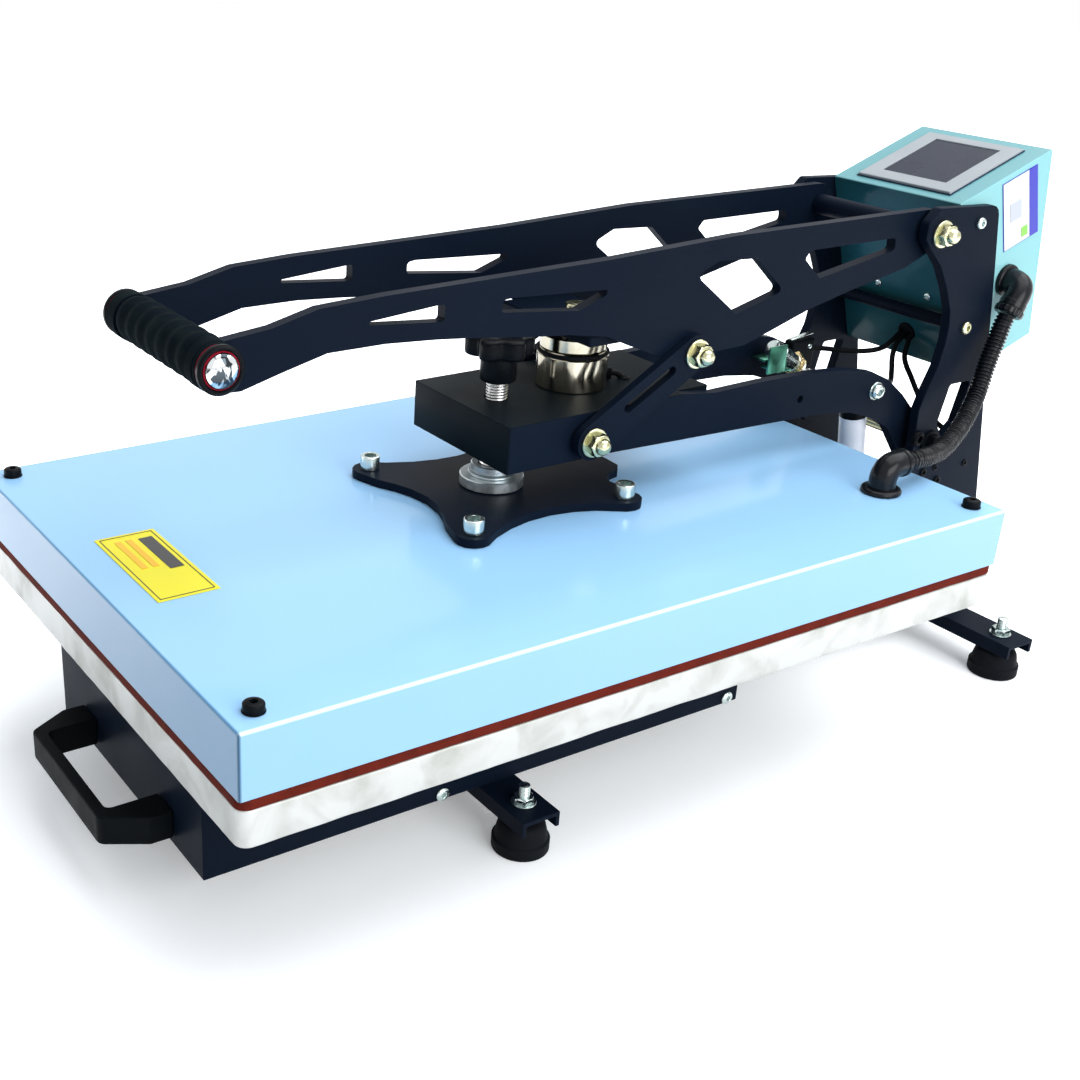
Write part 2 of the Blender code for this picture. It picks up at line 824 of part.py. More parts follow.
# Links
def make_links():
    slot_from, slot_to = (0.062, 0.0715), (0.098, 0.0920)
    outline = stadium(LINK_FOOT, LINK_TOP, 0.0130, 9)
    holes = [circle(LINK_TOP, HOLE_R, 14), circle(LINK_FOOT, HOLE_R, 14)]
    holes.append(stadium(slot_from, slot_to, 0.0035, 5))
    link_face = LINK_X + LINK_T / 2
    nut = [
        (0, link_face + 0.0150),
        (0.0035, link_face + 0.0150),
        (0.0060, link_face + 0.0125),
        (0.0068, link_face + 0.0095),
        (0.0085, link_face + 0.0090),
        (0.0085, link_face + 0.0020),
        (0.0105, link_face + 0.0020),
        (0.0105, link_face + GAP),
        (SHAFT_R, link_face + GAP),
    ]
    head = LEVER_X - PLATE_T / 2 - GAP
    upper = nut + [(SHAFT_R, head), (0.0080, head), (0.0080, head - 0.006), (0, head - 0.006)]
    flange = ARM_X + PLATE_T / 2 + GAP
    inside = LINK_X - LINK_T / 2 - GAP
    lower = nut + [(SHAFT_R, inside), (0.0095, inside), (0.0095, flange), (0, flange)]
    for hand, sign in pair():
        side_plate(
            f"link_{hand}", sign * LINK_X, LINK_TOP, outline, LINK_T, "black_powder_coat", holes
        )
        turn = (0, sign * math.radians(90), 0)
        turned(f"link_bolt_upper_{hand}", upper, "zinc_plate", side(0, LINK_TOP), turn)
        turned(f"link_bolt_lower_{hand}", lower, "zinc_plate", side(0, LINK_FOOT), turn)


# Rear frame
def make_posts():
    foot = TRAY_TOP + GAP
    crown = [(0.331, 0.1590), (0.331, 0.1710), (0.342, 0.1810), (0.4085, 0.1778), (0.4187, 0.1291)]
    outline = rounded(crown, [0, 0.006, 0.004, 0.009, 0])
    outline += [(0.4245, 0.0990), (0.437, 0.0340), (0.458, -0.0680), (0.474, foot)]
    outline += [(0.362, foot), (0.362, -0.0060), (0.360, 0.0230), (0.365, 0.0380), (0.373, 0.0560)]
    outline += [(0.3765, 0.0750), (0.3765, 0.0900), (0.374, 0.1010), (0.365, 0.1190)]
    outline += [(0.353, 0.1370), (0.338, 0.1510)]
    window = rounded(
        [(0.393, 0.0390), (0.417, 0.0390), (0.409, 0.0050), (0.395, -0.0070), (0.386, 0.0080)],
        0.003,
    )
    holes = [
        circle(LEVER_PIVOT, HOLE_R, 14),
        circle(ARM_PIVOT, HOLE_R, 14),
        window,
    ]
    for hand, sign in pair():
        side_plate(
            f"post_{hand}", sign * POST_X, (0.400, 0.0), outline, PLATE_T, "black_powder_coat", holes
        )


def make_rear_frame():
    inner = POST_X - PLATE_T / 2 - GAP
    add(
        "rear_plate",
        box_mesh("rear_plate", (2 * inner, 0.006, 0.085), 0.001, 1),
        "black_powder_coat",
        place(0, 0.442, TRAY_TOP + GAP + 0.0425),
    )
    rod = add(
        "tie_rod",
        cylinder_mesh("tie_rod", 0.005, 2 * inner, 16),
        "black_powder_coat",
        place(0, 0.396, 0.085),
    )
    rod.rotation_euler = (0, math.radians(90), 0)


def make_gas_spring():
    """Barrel over rod, leaning on the line between its two pins."""
    top, foot = Vector(GAS_TOP), Vector(GAS_FOOT)
    length = (top - foot).length
    lean = (math.atan2(top[0] - foot[0], top[1] - foot[1]) * -1, 0, 0)
    rod_top = length - 0.030
    rod = turned(
        "gas_spring_rod",
        [(0, rod_top), (0.004, rod_top), (0.004, 0.010), (0.008, 0.008), (0.008, -0.010), (0, -0.010)],
        "steel",
        side(GAS_X, GAS_FOOT),
        lean,
        steps=16,
    )
    barrel = turned(
        "gas_spring_barrel",
        [
            (0, length - 0.002),
            (0.007, length - 0.002),
            (0.0105, length - 0.010),
            (0.0105, 0.045),
            (0.0043, 0.045),
            (0.0043, rod_top + 0.004),
            (0, rod_top + 0.004),
        ],
        "black_powder_coat",
        side(GAS_X, GAS_FOOT),
        lean,
        steps=20,
    )
    return rod, barrel


# Control box
def box_point(along, down):
    """Side-view point on the tilted box: along its top from the front edge, and down from the top."""
    cos, sin = math.cos(BOX_TILT), math.sin(BOX_TILT)
    return (
        BOX_FRONT_TOP[0] + along * cos + down * sin,
        BOX_FRONT_TOP[1] + along * sin - down * cos,
    )


def make_control_box():
    """A folded shell, open behind, and the panel that closes it."""
    taper = (BOX_DEPTH - BOX_FOOT) / BOX_H
    rear_tilt = BOX_TILT - math.atan(taper)
    corners = [(0, 0), (BOX_DEPTH, 0), (BOX_FOOT, BOX_H), (0, BOX_H)]
    wall = 0.0025
    outer = [box_point(*p) for p in corners]
    rear_open = [(BOX_DEPTH - 1.4 * wall, wall), (BOX_FOOT - 0.8 * wall, BOX_H - wall)]
    hollow = [box_point(wall, wall), *[box_point(*p) for p in rear_open], box_point(wall, BOX_H - wall)]
    shell = side_plate("control_box", 0, (0.400, 0.1), rounded(outer, 0.0012), 2 * BOX_HALF_X, "mint_enamel")
    inside = cutter(
        "control_box_hollow",
        outline_mesh(
            "control_box_hollow", [(u - 0.400, v - 0.1) for u, v in hollow], 2 * (BOX_HALF_X - wall)
        ),
        side(0, (0.400, 0.1)),
        SIDE_ON,
    )
    boolean(shell, inside)
    centre_down = 0.072
    mouth = cutter(
        "control_box_mouth",
        box_mesh("control_box_mouth", (0.100, 0.012, 0.108)),
        side(0, box_point(BOX_DEPTH - taper * centre_down, centre_down)),
        (rear_tilt, 0, 0),
    )
    boolean(shell, mouth)
    panel_at = box_point(BOX_DEPTH - taper * centre_down + 0.0013, centre_down)
    add(
        "control_box_panel",
        box_mesh("control_box_panel", (0.112, 0.0018, 0.122), 0.0005, 1),
        "mint_enamel",
        side(0, panel_at),
        (rear_tilt, 0, 0),
    )
    screen_at = box_point(0.050, -0.0012)
    add(
        "touch_screen",
        box_mesh("touch_screen", (0.088, 0.083, 0.0018), 0.0005, 1),
        "screen_glass",
        side(0.0, screen_at),
        (BOX_TILT, 0, 0),
    )


def make_box_gland():
    """Right-angle gland on the control box's right side, its mouth facing down and forward."""
    y, z = 0.4465, 0.1150
    x = BOX_HALF_X
    route = [
        (x + 0.0010, y, z),
        (x + 0.0080, y, z),
        (x + 0.0140, y - 0.0015, z - 0.0020),
        (x + 0.0170, y - 0.0050, z - 0.0070),
        (x + 0.0175, y - 0.0100, z - 0.0145),
        (x + 0.0175, y - 0.0143, z - 0.0220),
    ]
    obj = add("box_gland", tube_mesh("box_gland", [place(*p) for p in route], 0.0097, 4), "black_plastic")
    flange = cutter(
        "box_gland_flange",
        cylinder_mesh("box_gland_flange", 0.0125, 0.004, 24),
        place(x + GAP + 0.002, y, z),
        (0, math.radians(90), 0),
    )
    boolean(obj, flange, "UNION")


def make_switch_and_damper():
    """Limit switch on the left arm plate's inner face, and a small damper bracketed beside it."""
    inner = ARM_X - PLATE_T / 2 - GAP
    switch = (0.010, 0.026, 0.024)
    add(
        "limit_switch",
        box_mesh("limit_switch", switch, 0.0015, 2),
        "black_plastic",
        place(switch[0] / 2 - inner, 0.341, 0.042),
    )
    axis = Vector((0, 0.045, -0.027)).normalized()
    tilt = (math.atan2(axis.y, -axis.z), 0, 0)
    start = place(DAMPER_X, 0.292, 0.0570)
    body = turned(
        "arm_damper",
        [
            (0, 0.0),
            (0.0060, 0.0),
            (0.0075, -0.0020),
            (0.0075, -0.0400),
            (0.0050, -0.0430),
            (0.0034, -0.0430),
            (0.0034, -0.0250),
            (0, -0.0250),
        ],
        "steel",
        start,
        tilt,
        steps=18,
    )
    arm_side = -inner
    bracket = cutter(
        "damper_bracket",
        box_mesh("damper_bracket", (DAMPER_X - arm_side, 0.012, 0.014)),
        place((DAMPER_X + arm_side) / 2, 0.300, 0.0520),
    )
    boolean(body, bracket, "UNION")
    turned(
        "damper_rod",
        [(0, -0.0290), (0.0030, -0.0290), (0.0030, -0.0520), (0.0045, -0.0530), (0.0045, -0.0580), (0, -0.0580)],
        "steel",
        start,
        tilt,
        steps=14,
    )


# Conduit and cables
CONDUIT_ROUTE = [
    (0.0785, 0.4318, 0.0921),
    (0.0787, 0.4285, 0.0855),
    (0.0800, 0.4242, 0.0770),
    (0.0830, 0.4140, 0.0579),
    (0.0880, 0.4016, 0.0372),
    (0.0955, 0.3845, 0.0251),
    (0.1050, 0.3619, 0.0168),
    (0.1180, 0.3299, 0.0128),
    (0.1275, 0.3030, 0.0153),
    (0.1330, 0.2810, 0.0184),
    (0.1335, 0.2669, 0.0188),
]


CABLES = (
    (
        "switch_cable",
        [
            (-0.0008, 0.4122, 0.0612),
            (-0.0014, 0.4040, 0.0545),
            (-0.0030, 0.3970, 0.0497),
            (-0.0066, 0.3880, 0.0472),
            (-0.0150, 0.3780, 0.0455),
            (-0.0260, 0.3700, 0.0445),
            (-0.0350, 0.3655, 0.0440),
            (-0.0405, 0.3610, 0.0434),
            (-0.0422, 0.3547, 0.0430),
        ],
        16,
    ),
    (
        "magnet_cable",
        [
            (0.0040, 0.4122, 0.0608),
            (0.0060, 0.4010, 0.0545),
            (0.0110, 0.3920, 0.0470),
            (0.0190, 0.3840, 0.0375),
            (0.0290, 0.3720, 0.0335),
            (0.0380, 0.3560, 0.0370),
            (0.0430, 0.3380, 0.0450),
            (0.0445, 0.3180, 0.0510),
            (0.0445, 0.2750, 0.0530),
            (0.0445, 0.2200, 0.0530),
            (0.0420, 0.1850, 0.0600),
            (0.0350, 0.1640, 0.0720),
            (0.0240, 0.1360, 0.0755),
            (0.0120, 0.1080, 0.0745),
            (0.0040, 0.0915, 0.0740),
        ],
        34,
    ),
    (
        "earth_cable",
        [
            (0.0092, 0.4122, 0.0604),
            (0.0115, 0.4070, 0.0525),
            (0.0135, 0.4040, 0.0455),
            (0.0175, 0.4030, 0.0390),
            (0.0235, 0.4045, 0.0300),
            (0.0310, 0.4090, 0.0150),
            (0.0430, 0.4110, 0.0020),
            (0.0580, 0.4110, -0.0040),
        ],
        16,
    ),
)


def make_cords():
    conduit = smooth_route([place(*p) for p in CONDUIT_ROUTE], 22)
    add("conduit", tube_mesh("conduit", conduit, CONDUIT_R, 3), "black_plastic", smooth=60)
    for name, route, count in CABLES:
        points = smooth_route([place(*p) for p in route], count)
        add(name, tube_mesh(name, points, CABLE_R, 2), "black_rubber", smooth=60)


def main():
    clear_scene()
    make_feet()
    make_crossbars()
    make_base_tray()
    make_slides()
    make_drawer_box()
    make_drawer_handle()
    make_platens()
    make_heater_cover()
    make_spider_plate()
    make_spindle()
    make_pressure_knob()
    make_cover_gland()
    make_press_arm()
    make_lever()
    make_armature()
    make_links()
    make_posts()
    make_rear_frame()
    make_gas_spring()
    make_control_box()
    make_box_gland()
    make_switch_and_damper()
    make_cords()


main()
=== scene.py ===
"""Looks of the clamshell heat press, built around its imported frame.

+Z is up and -Y is the operator's side. at(x, y, z) counts in metres from the spindle's axis and the
heater cover's top face. Profiles, rings, routes and fasteners are in millimetres. refined() keeps a CAD
node's shape and softens its edges; turned, threaded, swept and corrugated pieces stand for plain solids.
"""

import json
from math import atan, atan2, cos, pi, radians, sin

import bmesh
import bpy
from mathutils import Matrix, Vector, noise

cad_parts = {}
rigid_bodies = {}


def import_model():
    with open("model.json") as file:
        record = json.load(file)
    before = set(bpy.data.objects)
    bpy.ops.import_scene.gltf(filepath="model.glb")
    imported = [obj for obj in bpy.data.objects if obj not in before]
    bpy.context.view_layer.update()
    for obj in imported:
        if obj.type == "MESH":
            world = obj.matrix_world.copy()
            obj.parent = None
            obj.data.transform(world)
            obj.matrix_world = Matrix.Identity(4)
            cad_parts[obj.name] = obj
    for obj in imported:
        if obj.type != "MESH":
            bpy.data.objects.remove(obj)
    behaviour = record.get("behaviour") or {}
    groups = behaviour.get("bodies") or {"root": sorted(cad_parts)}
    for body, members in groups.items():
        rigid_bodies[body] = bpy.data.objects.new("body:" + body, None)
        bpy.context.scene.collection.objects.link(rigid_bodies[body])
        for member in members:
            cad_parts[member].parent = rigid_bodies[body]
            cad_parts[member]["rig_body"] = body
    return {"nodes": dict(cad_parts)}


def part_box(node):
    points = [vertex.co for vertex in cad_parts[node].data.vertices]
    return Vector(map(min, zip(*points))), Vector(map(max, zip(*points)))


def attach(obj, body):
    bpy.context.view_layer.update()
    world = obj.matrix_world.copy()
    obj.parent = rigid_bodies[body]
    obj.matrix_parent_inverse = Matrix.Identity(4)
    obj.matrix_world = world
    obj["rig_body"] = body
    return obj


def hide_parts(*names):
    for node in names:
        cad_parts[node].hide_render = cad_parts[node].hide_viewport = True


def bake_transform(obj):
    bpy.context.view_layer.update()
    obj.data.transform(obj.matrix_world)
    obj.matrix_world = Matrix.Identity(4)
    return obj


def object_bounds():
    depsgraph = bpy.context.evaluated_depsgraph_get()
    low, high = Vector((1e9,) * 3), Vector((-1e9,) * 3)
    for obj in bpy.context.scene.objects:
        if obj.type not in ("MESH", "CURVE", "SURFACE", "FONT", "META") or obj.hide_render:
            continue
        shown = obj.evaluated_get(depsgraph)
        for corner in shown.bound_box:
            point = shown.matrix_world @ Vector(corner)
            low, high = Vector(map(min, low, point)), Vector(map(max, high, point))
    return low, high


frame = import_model()
CAD_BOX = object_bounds()
UP, RIGHT, REAR = Vector((0, 0, 1)), Vector((1, 0, 0)), Vector((0, 1, 0))
HANDS = (("left", -1), ("right", 1))
CORNERS = ((-1, -1), (1, -1), (1, 1), (-1, 1))
MM = 0.001


def middle(node):
    low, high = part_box(node)
    return (low + high) / 2


ORIGIN = Vector((0, middle("spindle").y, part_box("heater_cover")[1].z))


def at(x, y, z):
    return ORIGIN + Vector((x, y, z))


def beside(x, spot):
    """The spot moved sideways to this x."""
    return Vector((x, spot.y, spot.z))


def on_axis(z):
    """The spindle's axis at this height."""
    return Vector((0, ORIGIN.y, z))


# Materials
class Nodes:
    def __init__(self, owner):
        owner.use_nodes = True
        self.tree = owner.node_tree

    def wire(self, node, inputs):
        """Each socket gets a number or another node's output."""
        for socket, value in inputs.items():
            if isinstance(value, bpy.types.NodeSocket):
                self.tree.links.new(value, node.inputs[socket])
            else:
                node.inputs[socket].default_value = value

    def node(self, kind, inputs=None, **settings):
        made = self.tree.nodes.new(f"ShaderNode{kind}")
        for key, value in settings.items():
            setattr(made, key, value)
        self.wire(made, inputs or {})
        return made

    def ramp(self, value, low, high, to_low=0, to_high=1):
        return self.node("MapRange", {"Value": value, 1: low, 2: high, 3: to_low, 4: to_high}).outputs[0]

    def product(self, first, second):
        return self.node("Math", {0: first, 1: second}, operation="MULTIPLY").outputs[0]


class Finish(Nodes):
    """A Principled material and the procedural layers that vary it over the surface."""

    def __init__(self, name, colour, roughness, metallic=0, specular=0.5):
        self.material = bpy.data.materials.new(name)
        super().__init__(self.material)
        self.material.diffuse_color = self.colour = (*colour, 1)
        self.shader = self.tree.nodes["Principled BSDF"]
        self.place = self.node("TexCoord").outputs["Object"]
        self.normal = None
        self.put("Base Color", self.colour)
        self.put("Roughness", roughness)
        self.put("Metallic", metallic)
        self.put("Specular IOR Level", specular)

    def put(self, socket, value):
        self.wire(self.shader, {socket: value})

    def noise(self, scale, detail=3, stretch=(1, 1, 1), distortion=0):
        mapping = self.node("Mapping", {"Vector": self.place, "Scale": stretch})
        inputs = {"Vector": mapping.outputs[0], "Scale": scale, "Detail": detail, "Distortion": distortion}
        return self.node("TexNoise", inputs).outputs[0]

    def cells(self, scale):
        return self.node("TexVoronoi", {"Vector": self.place, "Scale": scale}).outputs["Distance"]

    def blotch(self, colour, mask):
        """Lays another colour over the base where the mask is 1."""
        mix = self.node("Mix", {0: mask}, data_type="RGBA")
        self.wire(mix, {6: self.colour, 7: (*colour, 1)})
        self.colour = mix.outputs[2]
        self.put("Base Color", self.colour)
        return self

    def mottle(self, colour, scale, detail, low, high, most=1, distortion=0):
        """Lays another colour over the base in soft patches."""
        patches = self.noise(scale, detail, distortion=distortion)
        return self.blotch(colour, self.ramp(patches, low, high, 0, most))

    def uneven(self, scale, low, high, stretch=(1, 1, 1)):
        """Roughness that drifts between two values."""
        self.put("Roughness", self.ramp(self.noise(scale, stretch=stretch), 0.3, 0.7, low, high))
        return self

    def relief(self, height, strength, distance):
        """Adds this height to the surface normal."""
        bump = self.node("Bump", {"Height": height, "Strength": strength, "Distance": distance})
        if self.normal:
            self.wire(bump, {"Normal": self.normal})
        self.normal = bump.outputs[0]
        self.put("Normal", self.normal)
        return self

    def grain(self, scale, strength, distance, detail=2, stretch=(1, 1, 1)):
        return self.relief(self.noise(scale, detail, stretch), strength, distance)


def powder_coat(name, colour, light, roughness):
    coat = Finish(name, colour, roughness, specular=0.035).mottle(light, 9, 4, 0.35, 0.75, 0.35)
    coat.uneven(14, roughness - 0.05, roughness + 0.07)
    return coat.grain(1500, 0.16, 0.0003).grain(420, 0.05, 0.0005)


def enamel(name, colour, shade, roughness):
    """Stove enamel: a gloss coat with a faint orange peel and a slow drift of shade."""
    coat = Finish(name, colour, roughness, specular=0.2)
    coat.put("Coat Weight", 0.22)
    coat.put("Coat Roughness", 0.06)
    coat.mottle(shade, 4, 3, 0.35, 0.7, 0.5).uneven(20, roughness - 0.03, roughness + 0.05)
    return coat.grain(260, 0.045, 0.0006)


def cover_enamel():
    """Sky blue enamel with a painted highlight along the top edges of its sides and painted shade along its
    front and rear top edges and down its upright corners.
    """
    coat = enamel("sky_blue_enamel", (0.31, 0.565, 0.85), (0.35, 0.6, 0.88), 0.2)
    low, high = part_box("heater_cover")
    spread = coat.node("VectorMath", {0: coat.place, 1: (low + high) / 2}, operation="SUBTRACT")
    parts = coat.node("SeparateXYZ", {0: spread.outputs[0]})
    near = []
    for axis, half in enumerate((high - low) / 2):
        reach = parts.outputs[axis]
        if axis < 2:
            reach = coat.node("Math", {0: reach}, operation="ABSOLUTE").outputs[0]
        near.append(coat.ramp(reach, half - 0.002, half - 0.0006))
    x, y, z = near
    # painted shade: darker blue along the front and rear top edges
    coat.blotch((0.1, 0.3, 0.52), coat.product(y, z))
    # painted highlight: near-white along the left and right top edges
    coat.blotch((0.8, 0.93, 1), coat.product(x, z))
    # painted shade: deep blue down the upright corners
    return coat.blotch((0.02, 0.1, 0.2), coat.product(x, y))


def box_enamel():
    """Mint enamel of the control box, with painted shade on its tilted top and its front."""
    coat = enamel("mint_enamel", (0.27, 0.58, 0.6), (0.3, 0.61, 0.63), 0.3)
    normal = coat.node("NewGeometry").outputs["Normal"]
    # painted shade: darker mint on faces turned like the tilted top, deeper still on faces turned to the
    # front
    for direction, colour in (
        ((0, -0.326, 0.946), (0.125, 0.33, 0.36)),
        ((0, -0.946, -0.326), (0.022, 0.125, 0.15)),
    ):
        facing_it = coat.node("VectorMath", {0: normal, 1: direction}, operation="DOT_PRODUCT")
        coat.blotch(colour, coat.ramp(facing_it.outputs["Value"], 0.6, 0.9))
    return coat


def bright_metal(name, colour, shade, roughness, stretch=(1, 1, 1)):
    """Plated or turned metal with fine marks along the cut and slow tarnish."""
    metal = Finish(name, colour, roughness, 1).mottle(shade, 70, 4, 0.4, 0.75, 0.6)
    metal.uneven(220, roughness - 0.04, roughness + 0.08, stretch)
    return metal.grain(900, 0.1, 0.0002, stretch=stretch)


def polished_cap():
    """Chrome of the grip's end caps, with painted reflections as sharp near-black patches in its colour; its
    roughness drifts.
    """
    metal = Finish("polished_chrome_cap", (0.8, 0.83, 0.85), 0.08, 1)
    # painted reflection: near-black patches with sharp edges laid into the chrome's colour
    return metal.mottle((0.05, 0.06, 0.07), 75, 2, 0.5, 0.54, distortion=1.2).uneven(120, 0.05, 0.16)


def moulded(name, colour, shade, roughness, grain=700):
    """Moulded plastic or rubber with a fine skin texture."""
    skin = Finish(name, colour, roughness, specular=0.05).mottle(shade, 30, 3, 0.4, 0.8, 0.5)
    return skin.uneven(60, roughness - 0.05, roughness + 0.08).grain(grain, 0.14, 0.0003)


def gloss_plastic():
    """Injection-moulded nylon with a polished skin."""
    nylon = Finish("gloss_black_nylon", (0.003, 0.004, 0.006), 0.22, specular=0.2)
    nylon.mottle((0.006, 0.007, 0.009), 40, 3, 0.4, 0.8, 0.5).uneven(80, 0.2, 0.32)
    return nylon.grain(300, 0.05, 0.0003)


def printed(name, colour, shade):
    """Vinyl label film."""
    return Finish(name, colour, 0.32).mottle(shade, 90, 3, 0.4, 0.8, 0.3).grain(500, 0.05, 0.0002)


def silicone():
    sponge = Finish("silicone_sponge", (0.13, 0.014, 0.007), 0.75, specular=0.08)
    sponge.mottle((0.065, 0.008, 0.004), 55, 5, 0.45, 0.8)
    sponge.mottle((0.2, 0.028, 0.012), 900, 2, 0.55, 0.8, 0.5)
    return sponge.relief(sponge.cells(1400), 0.35, 0.0004)


def cast_aluminium():
    """Planed casting: pale, milled along its length, with dull patches."""
    metal = Finish("planed_aluminium", (0.6, 0.6, 0.58), 0.45, 0.35)
    metal.mottle((0.36, 0.36, 0.32), 30, 6, 0.45, 0.72, 0.75, 0.6).uneven(30, 0.34, 0.52)
    return metal.grain(700, 0.12, 0.0003, stretch=(1, 0.05, 1)).grain(120, 0.1, 0.0008, 3)


def foam():
    """Closed-cell grip foam."""
    grip = Finish("grip_foam", (0.003, 0.0066, 0.0095), 0.85, specular=0.03)
    grip.mottle((0.008, 0.014, 0.015), 60, 4, 0.45, 0.75)
    return grip.relief(grip.cells(1700), 0.5, 0.0004)


def glass():
    pane = Finish("screen_glass", (0.02, 0.025, 0.04), 0.3, specular=0.1)
    return pane.mottle((0.025, 0.03, 0.046), 12, 2, 0.35, 0.7).uneven(25, 0.22, 0.36)


FINISHES = {
    "black_coat": powder_coat("black_powder_coat", (0.0034, 0.0068, 0.015), (0.006, 0.011, 0.021), 0.4),
    "black_block": powder_coat("black_block_coat", (0.0024, 0.0056, 0.0084), (0.005, 0.009, 0.012), 0.46),
    "blue_enamel": cover_enamel(),
    "mint_enamel": box_enamel(),
    "silicone": silicone(),
    "aluminium": cast_aluminium(),
    "foam": foam(),
    "rubber": moulded("black_rubber", (0.006, 0.007, 0.009), (0.012, 0.013, 0.016), 0.62, 900),
    "plastic": moulded("black_plastic", (0.0035, 0.0045, 0.006), (0.008, 0.009, 0.011), 0.3),
    "gloss_plastic": gloss_plastic(),
    "satin_plastic": moulded("satin_black_plastic", (0.002, 0.003, 0.004), (0.004, 0.006, 0.008), 0.5, 500),
    "cable": moulded("cable_sheath", (0.007, 0.008, 0.009), (0.014, 0.015, 0.016), 0.42, 1200),
    "nickel": bright_metal("nickel_plate", (0.46, 0.43, 0.35), (0.22, 0.2, 0.14), 0.13, (1, 1, 0.04)),
    "chrome": bright_metal("chrome_plate", (0.86, 0.88, 0.9), (0.74, 0.77, 0.8), 0.07),
    "yellow_zinc": bright_metal("yellow_zinc_plate", (0.62, 0.6, 0.4), (0.3, 0.33, 0.16), 0.2),
    "zinc": bright_metal("zinc_plate", (0.6, 0.68, 0.67), (0.34, 0.44, 0.42), 0.2),
    "ground_steel": bright_metal("ground_steel", (0.62, 0.68, 0.7), (0.44, 0.5, 0.52), 0.34),
    "polished_cap": polished_cap(),
    "steel": bright_metal("turned_steel", (0.62, 0.62, 0.62), (0.44, 0.44, 0.43), 0.24, (1, 1, 12)),
    # painted reflection: the brackets' green colour stands in for a green cast reflected in plated steel
    "painted_green_reflection_zinc": bright_metal("steel_with_painted_green_reflection", (0.1, 0.34, 0.24), (0.04, 0.16, 0.11), 0.32),
    "brass": bright_metal("brass", (0.78, 0.62, 0.32), (0.55, 0.42, 0.2), 0.25),
    "glass": glass(),
    "bezel": moulded("grey_bezel", (0.34, 0.36, 0.38), (0.4, 0.42, 0.44), 0.4, 600),
    "dark_trim": moulded("dark_trim", (0.02, 0.03, 0.06), (0.03, 0.04, 0.07), 0.4),
    "red_trim": moulded("red_ring", (0.26, 0.006, 0.02), (0.32, 0.012, 0.028), 0.3),
}
for hue, *tones in (
    ("yellow", (0.84, 0.74, 0.004), (0.8, 0.68, 0.01)),
    ("black", (0.02, 0.02, 0.022), (0.03, 0.03, 0.03)),
    ("orange", (0.9, 0.5, 0.01), (0.85, 0.44, 0.01)),
    ("white", (0.8, 0.82, 0.88), (0.74, 0.77, 0.84)),
    ("blue", (0.03, 0.03, 0.45), (0.03, 0.04, 0.38)),
    ("green", (0.25, 0.6, 0.08), (0.22, 0.54, 0.07)),
    ("grey", (0.55, 0.57, 0.62), (0.5, 0.52, 0.58)),
):
    FINISHES[f"{hue}_film"] = printed(f"{hue}_film", *tones)


# Meshes
def put_in_scene(obj):
    bpy.context.scene.collection.objects.link(obj)


def piece(mesh, finish, body, smooth=35, stands_for=None):
    """A finished piece that rides on a body. The mesh is already in the shared frame."""
    obj = bpy.data.objects.new(mesh.name, mesh)
    put_in_scene(obj)
    mesh.materials.clear()
    mesh.materials.append(FINISHES[finish].material)
    mesh.shade_smooth()
    mesh.set_sharp_from_angle(angle=radians(smooth))
    if body:
        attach(obj, body)
    if stands_for:
        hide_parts(stands_for)
    return obj


def stand_in(mesh, finish, node, smooth=35):
    """A piece in place of this CAD node, on the node's body."""
    return piece(mesh, finish, frame["nodes"][node]["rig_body"], smooth, node)


def harden(obj):
    """Flat faces keep flat shading beside their rounded edges."""
    weighted = obj.modifiers.new("weighted_normals", "WEIGHTED_NORMAL")
    weighted.keep_sharp = True
    weighted.weight = 80


def to_mesh(name, bm):
    mesh = bpy.data.meshes.new(name)
    bm.to_mesh(mesh)
    bm.free()
    return mesh


def angles(steps):
    return [2 * pi * i / steps for i in range(steps)]


def ring(steps, reach_at, height):
    """Points round +Z at this height; reach_at(angle) gives their radius."""
    return [Vector((reach_at(a) * cos(a), reach_at(a) * sin(a), height)) * MM for a in angles(steps)]


def loft(name, rings, loop=False):
    """A closed skin through rings of equal count; rings that shrink to a point are welded."""
    bm = bmesh.new()
    rows = [[bm.verts.new(point) for point in points] for points in rings]
    count = len(rings[0])
    for first, second in zip(rows, rows[1:] + (rows[:1] if loop else [])):
        for i in range(count):
            j = (i + 1) % count
            bm.faces.new((first[i], first[j], second[j], second[i]))
    if not loop:
        bm.faces.new(rows[0][::-1])
        bm.faces.new(rows[-1])
    bmesh.ops.remove_doubles(bm, verts=bm.verts, dist=1e-6)
    bmesh.ops.recalc_face_normals(bm, faces=bm.faces)
    return to_mesh(name, bm)


def facing(place, direction):
    """The matrix that stands local +Z along the direction at the place."""
    turn = UP.rotation_difference(Vector(direction).normalized()).to_matrix().to_4x4()
    return Matrix.Translation(place) @ turn


def stood(name, rings, place, direction, loop=False):
    mesh = loft(name, rings, loop)
    mesh.transform(facing(place, direction))
    return mesh


def spun(name, profile, place, direction=UP, steps=40, apothem=None):
    """A turned mesh. Each entry is (radius, height), or (radius, height, "hex") where flats cut it."""
    rings = []
    for radius, height, *flats in profile:

        def reach(angle):
            off_flat = (angle + pi / 6) % (pi / 3) - pi / 6
            return min(radius, apothem / cos(off_flat)) if flats else radius

        rings.append(ring(steps, reach, height))
    return stood(name, rings, place, direction)


def tube_ring(name, outer, inner, low, high, place, direction=UP, chamfer=0.4, steps=40):
    """A washer, spacer or bearing ring with chamfered rims."""
    c = chamfer
    profile = [(inner + c, high), (outer - c, high), (outer, high - c), (outer, low + c)]
    profile += [(outer - c, low), (inner + c, low), (inner, low + c), (inner, high - c)]
    return stood(name, [ring(steps, lambda a: radius, z) for radius, z in profile], place, direction, True)


def o_ring(name, radius, thickness, place, steps=64):
    """A rubber ring lying flat at the place, in metres."""
    rings = []
    for angle in angles(steps):
        spoke = Vector((cos(angle), sin(angle), 0))
        round_it = ((spoke * cos(t) + UP * sin(t)) * thickness for t in angles(12))
        rings.append([place + spoke * radius + step for step in round_it])
    return loft(name, rings, loop=True)


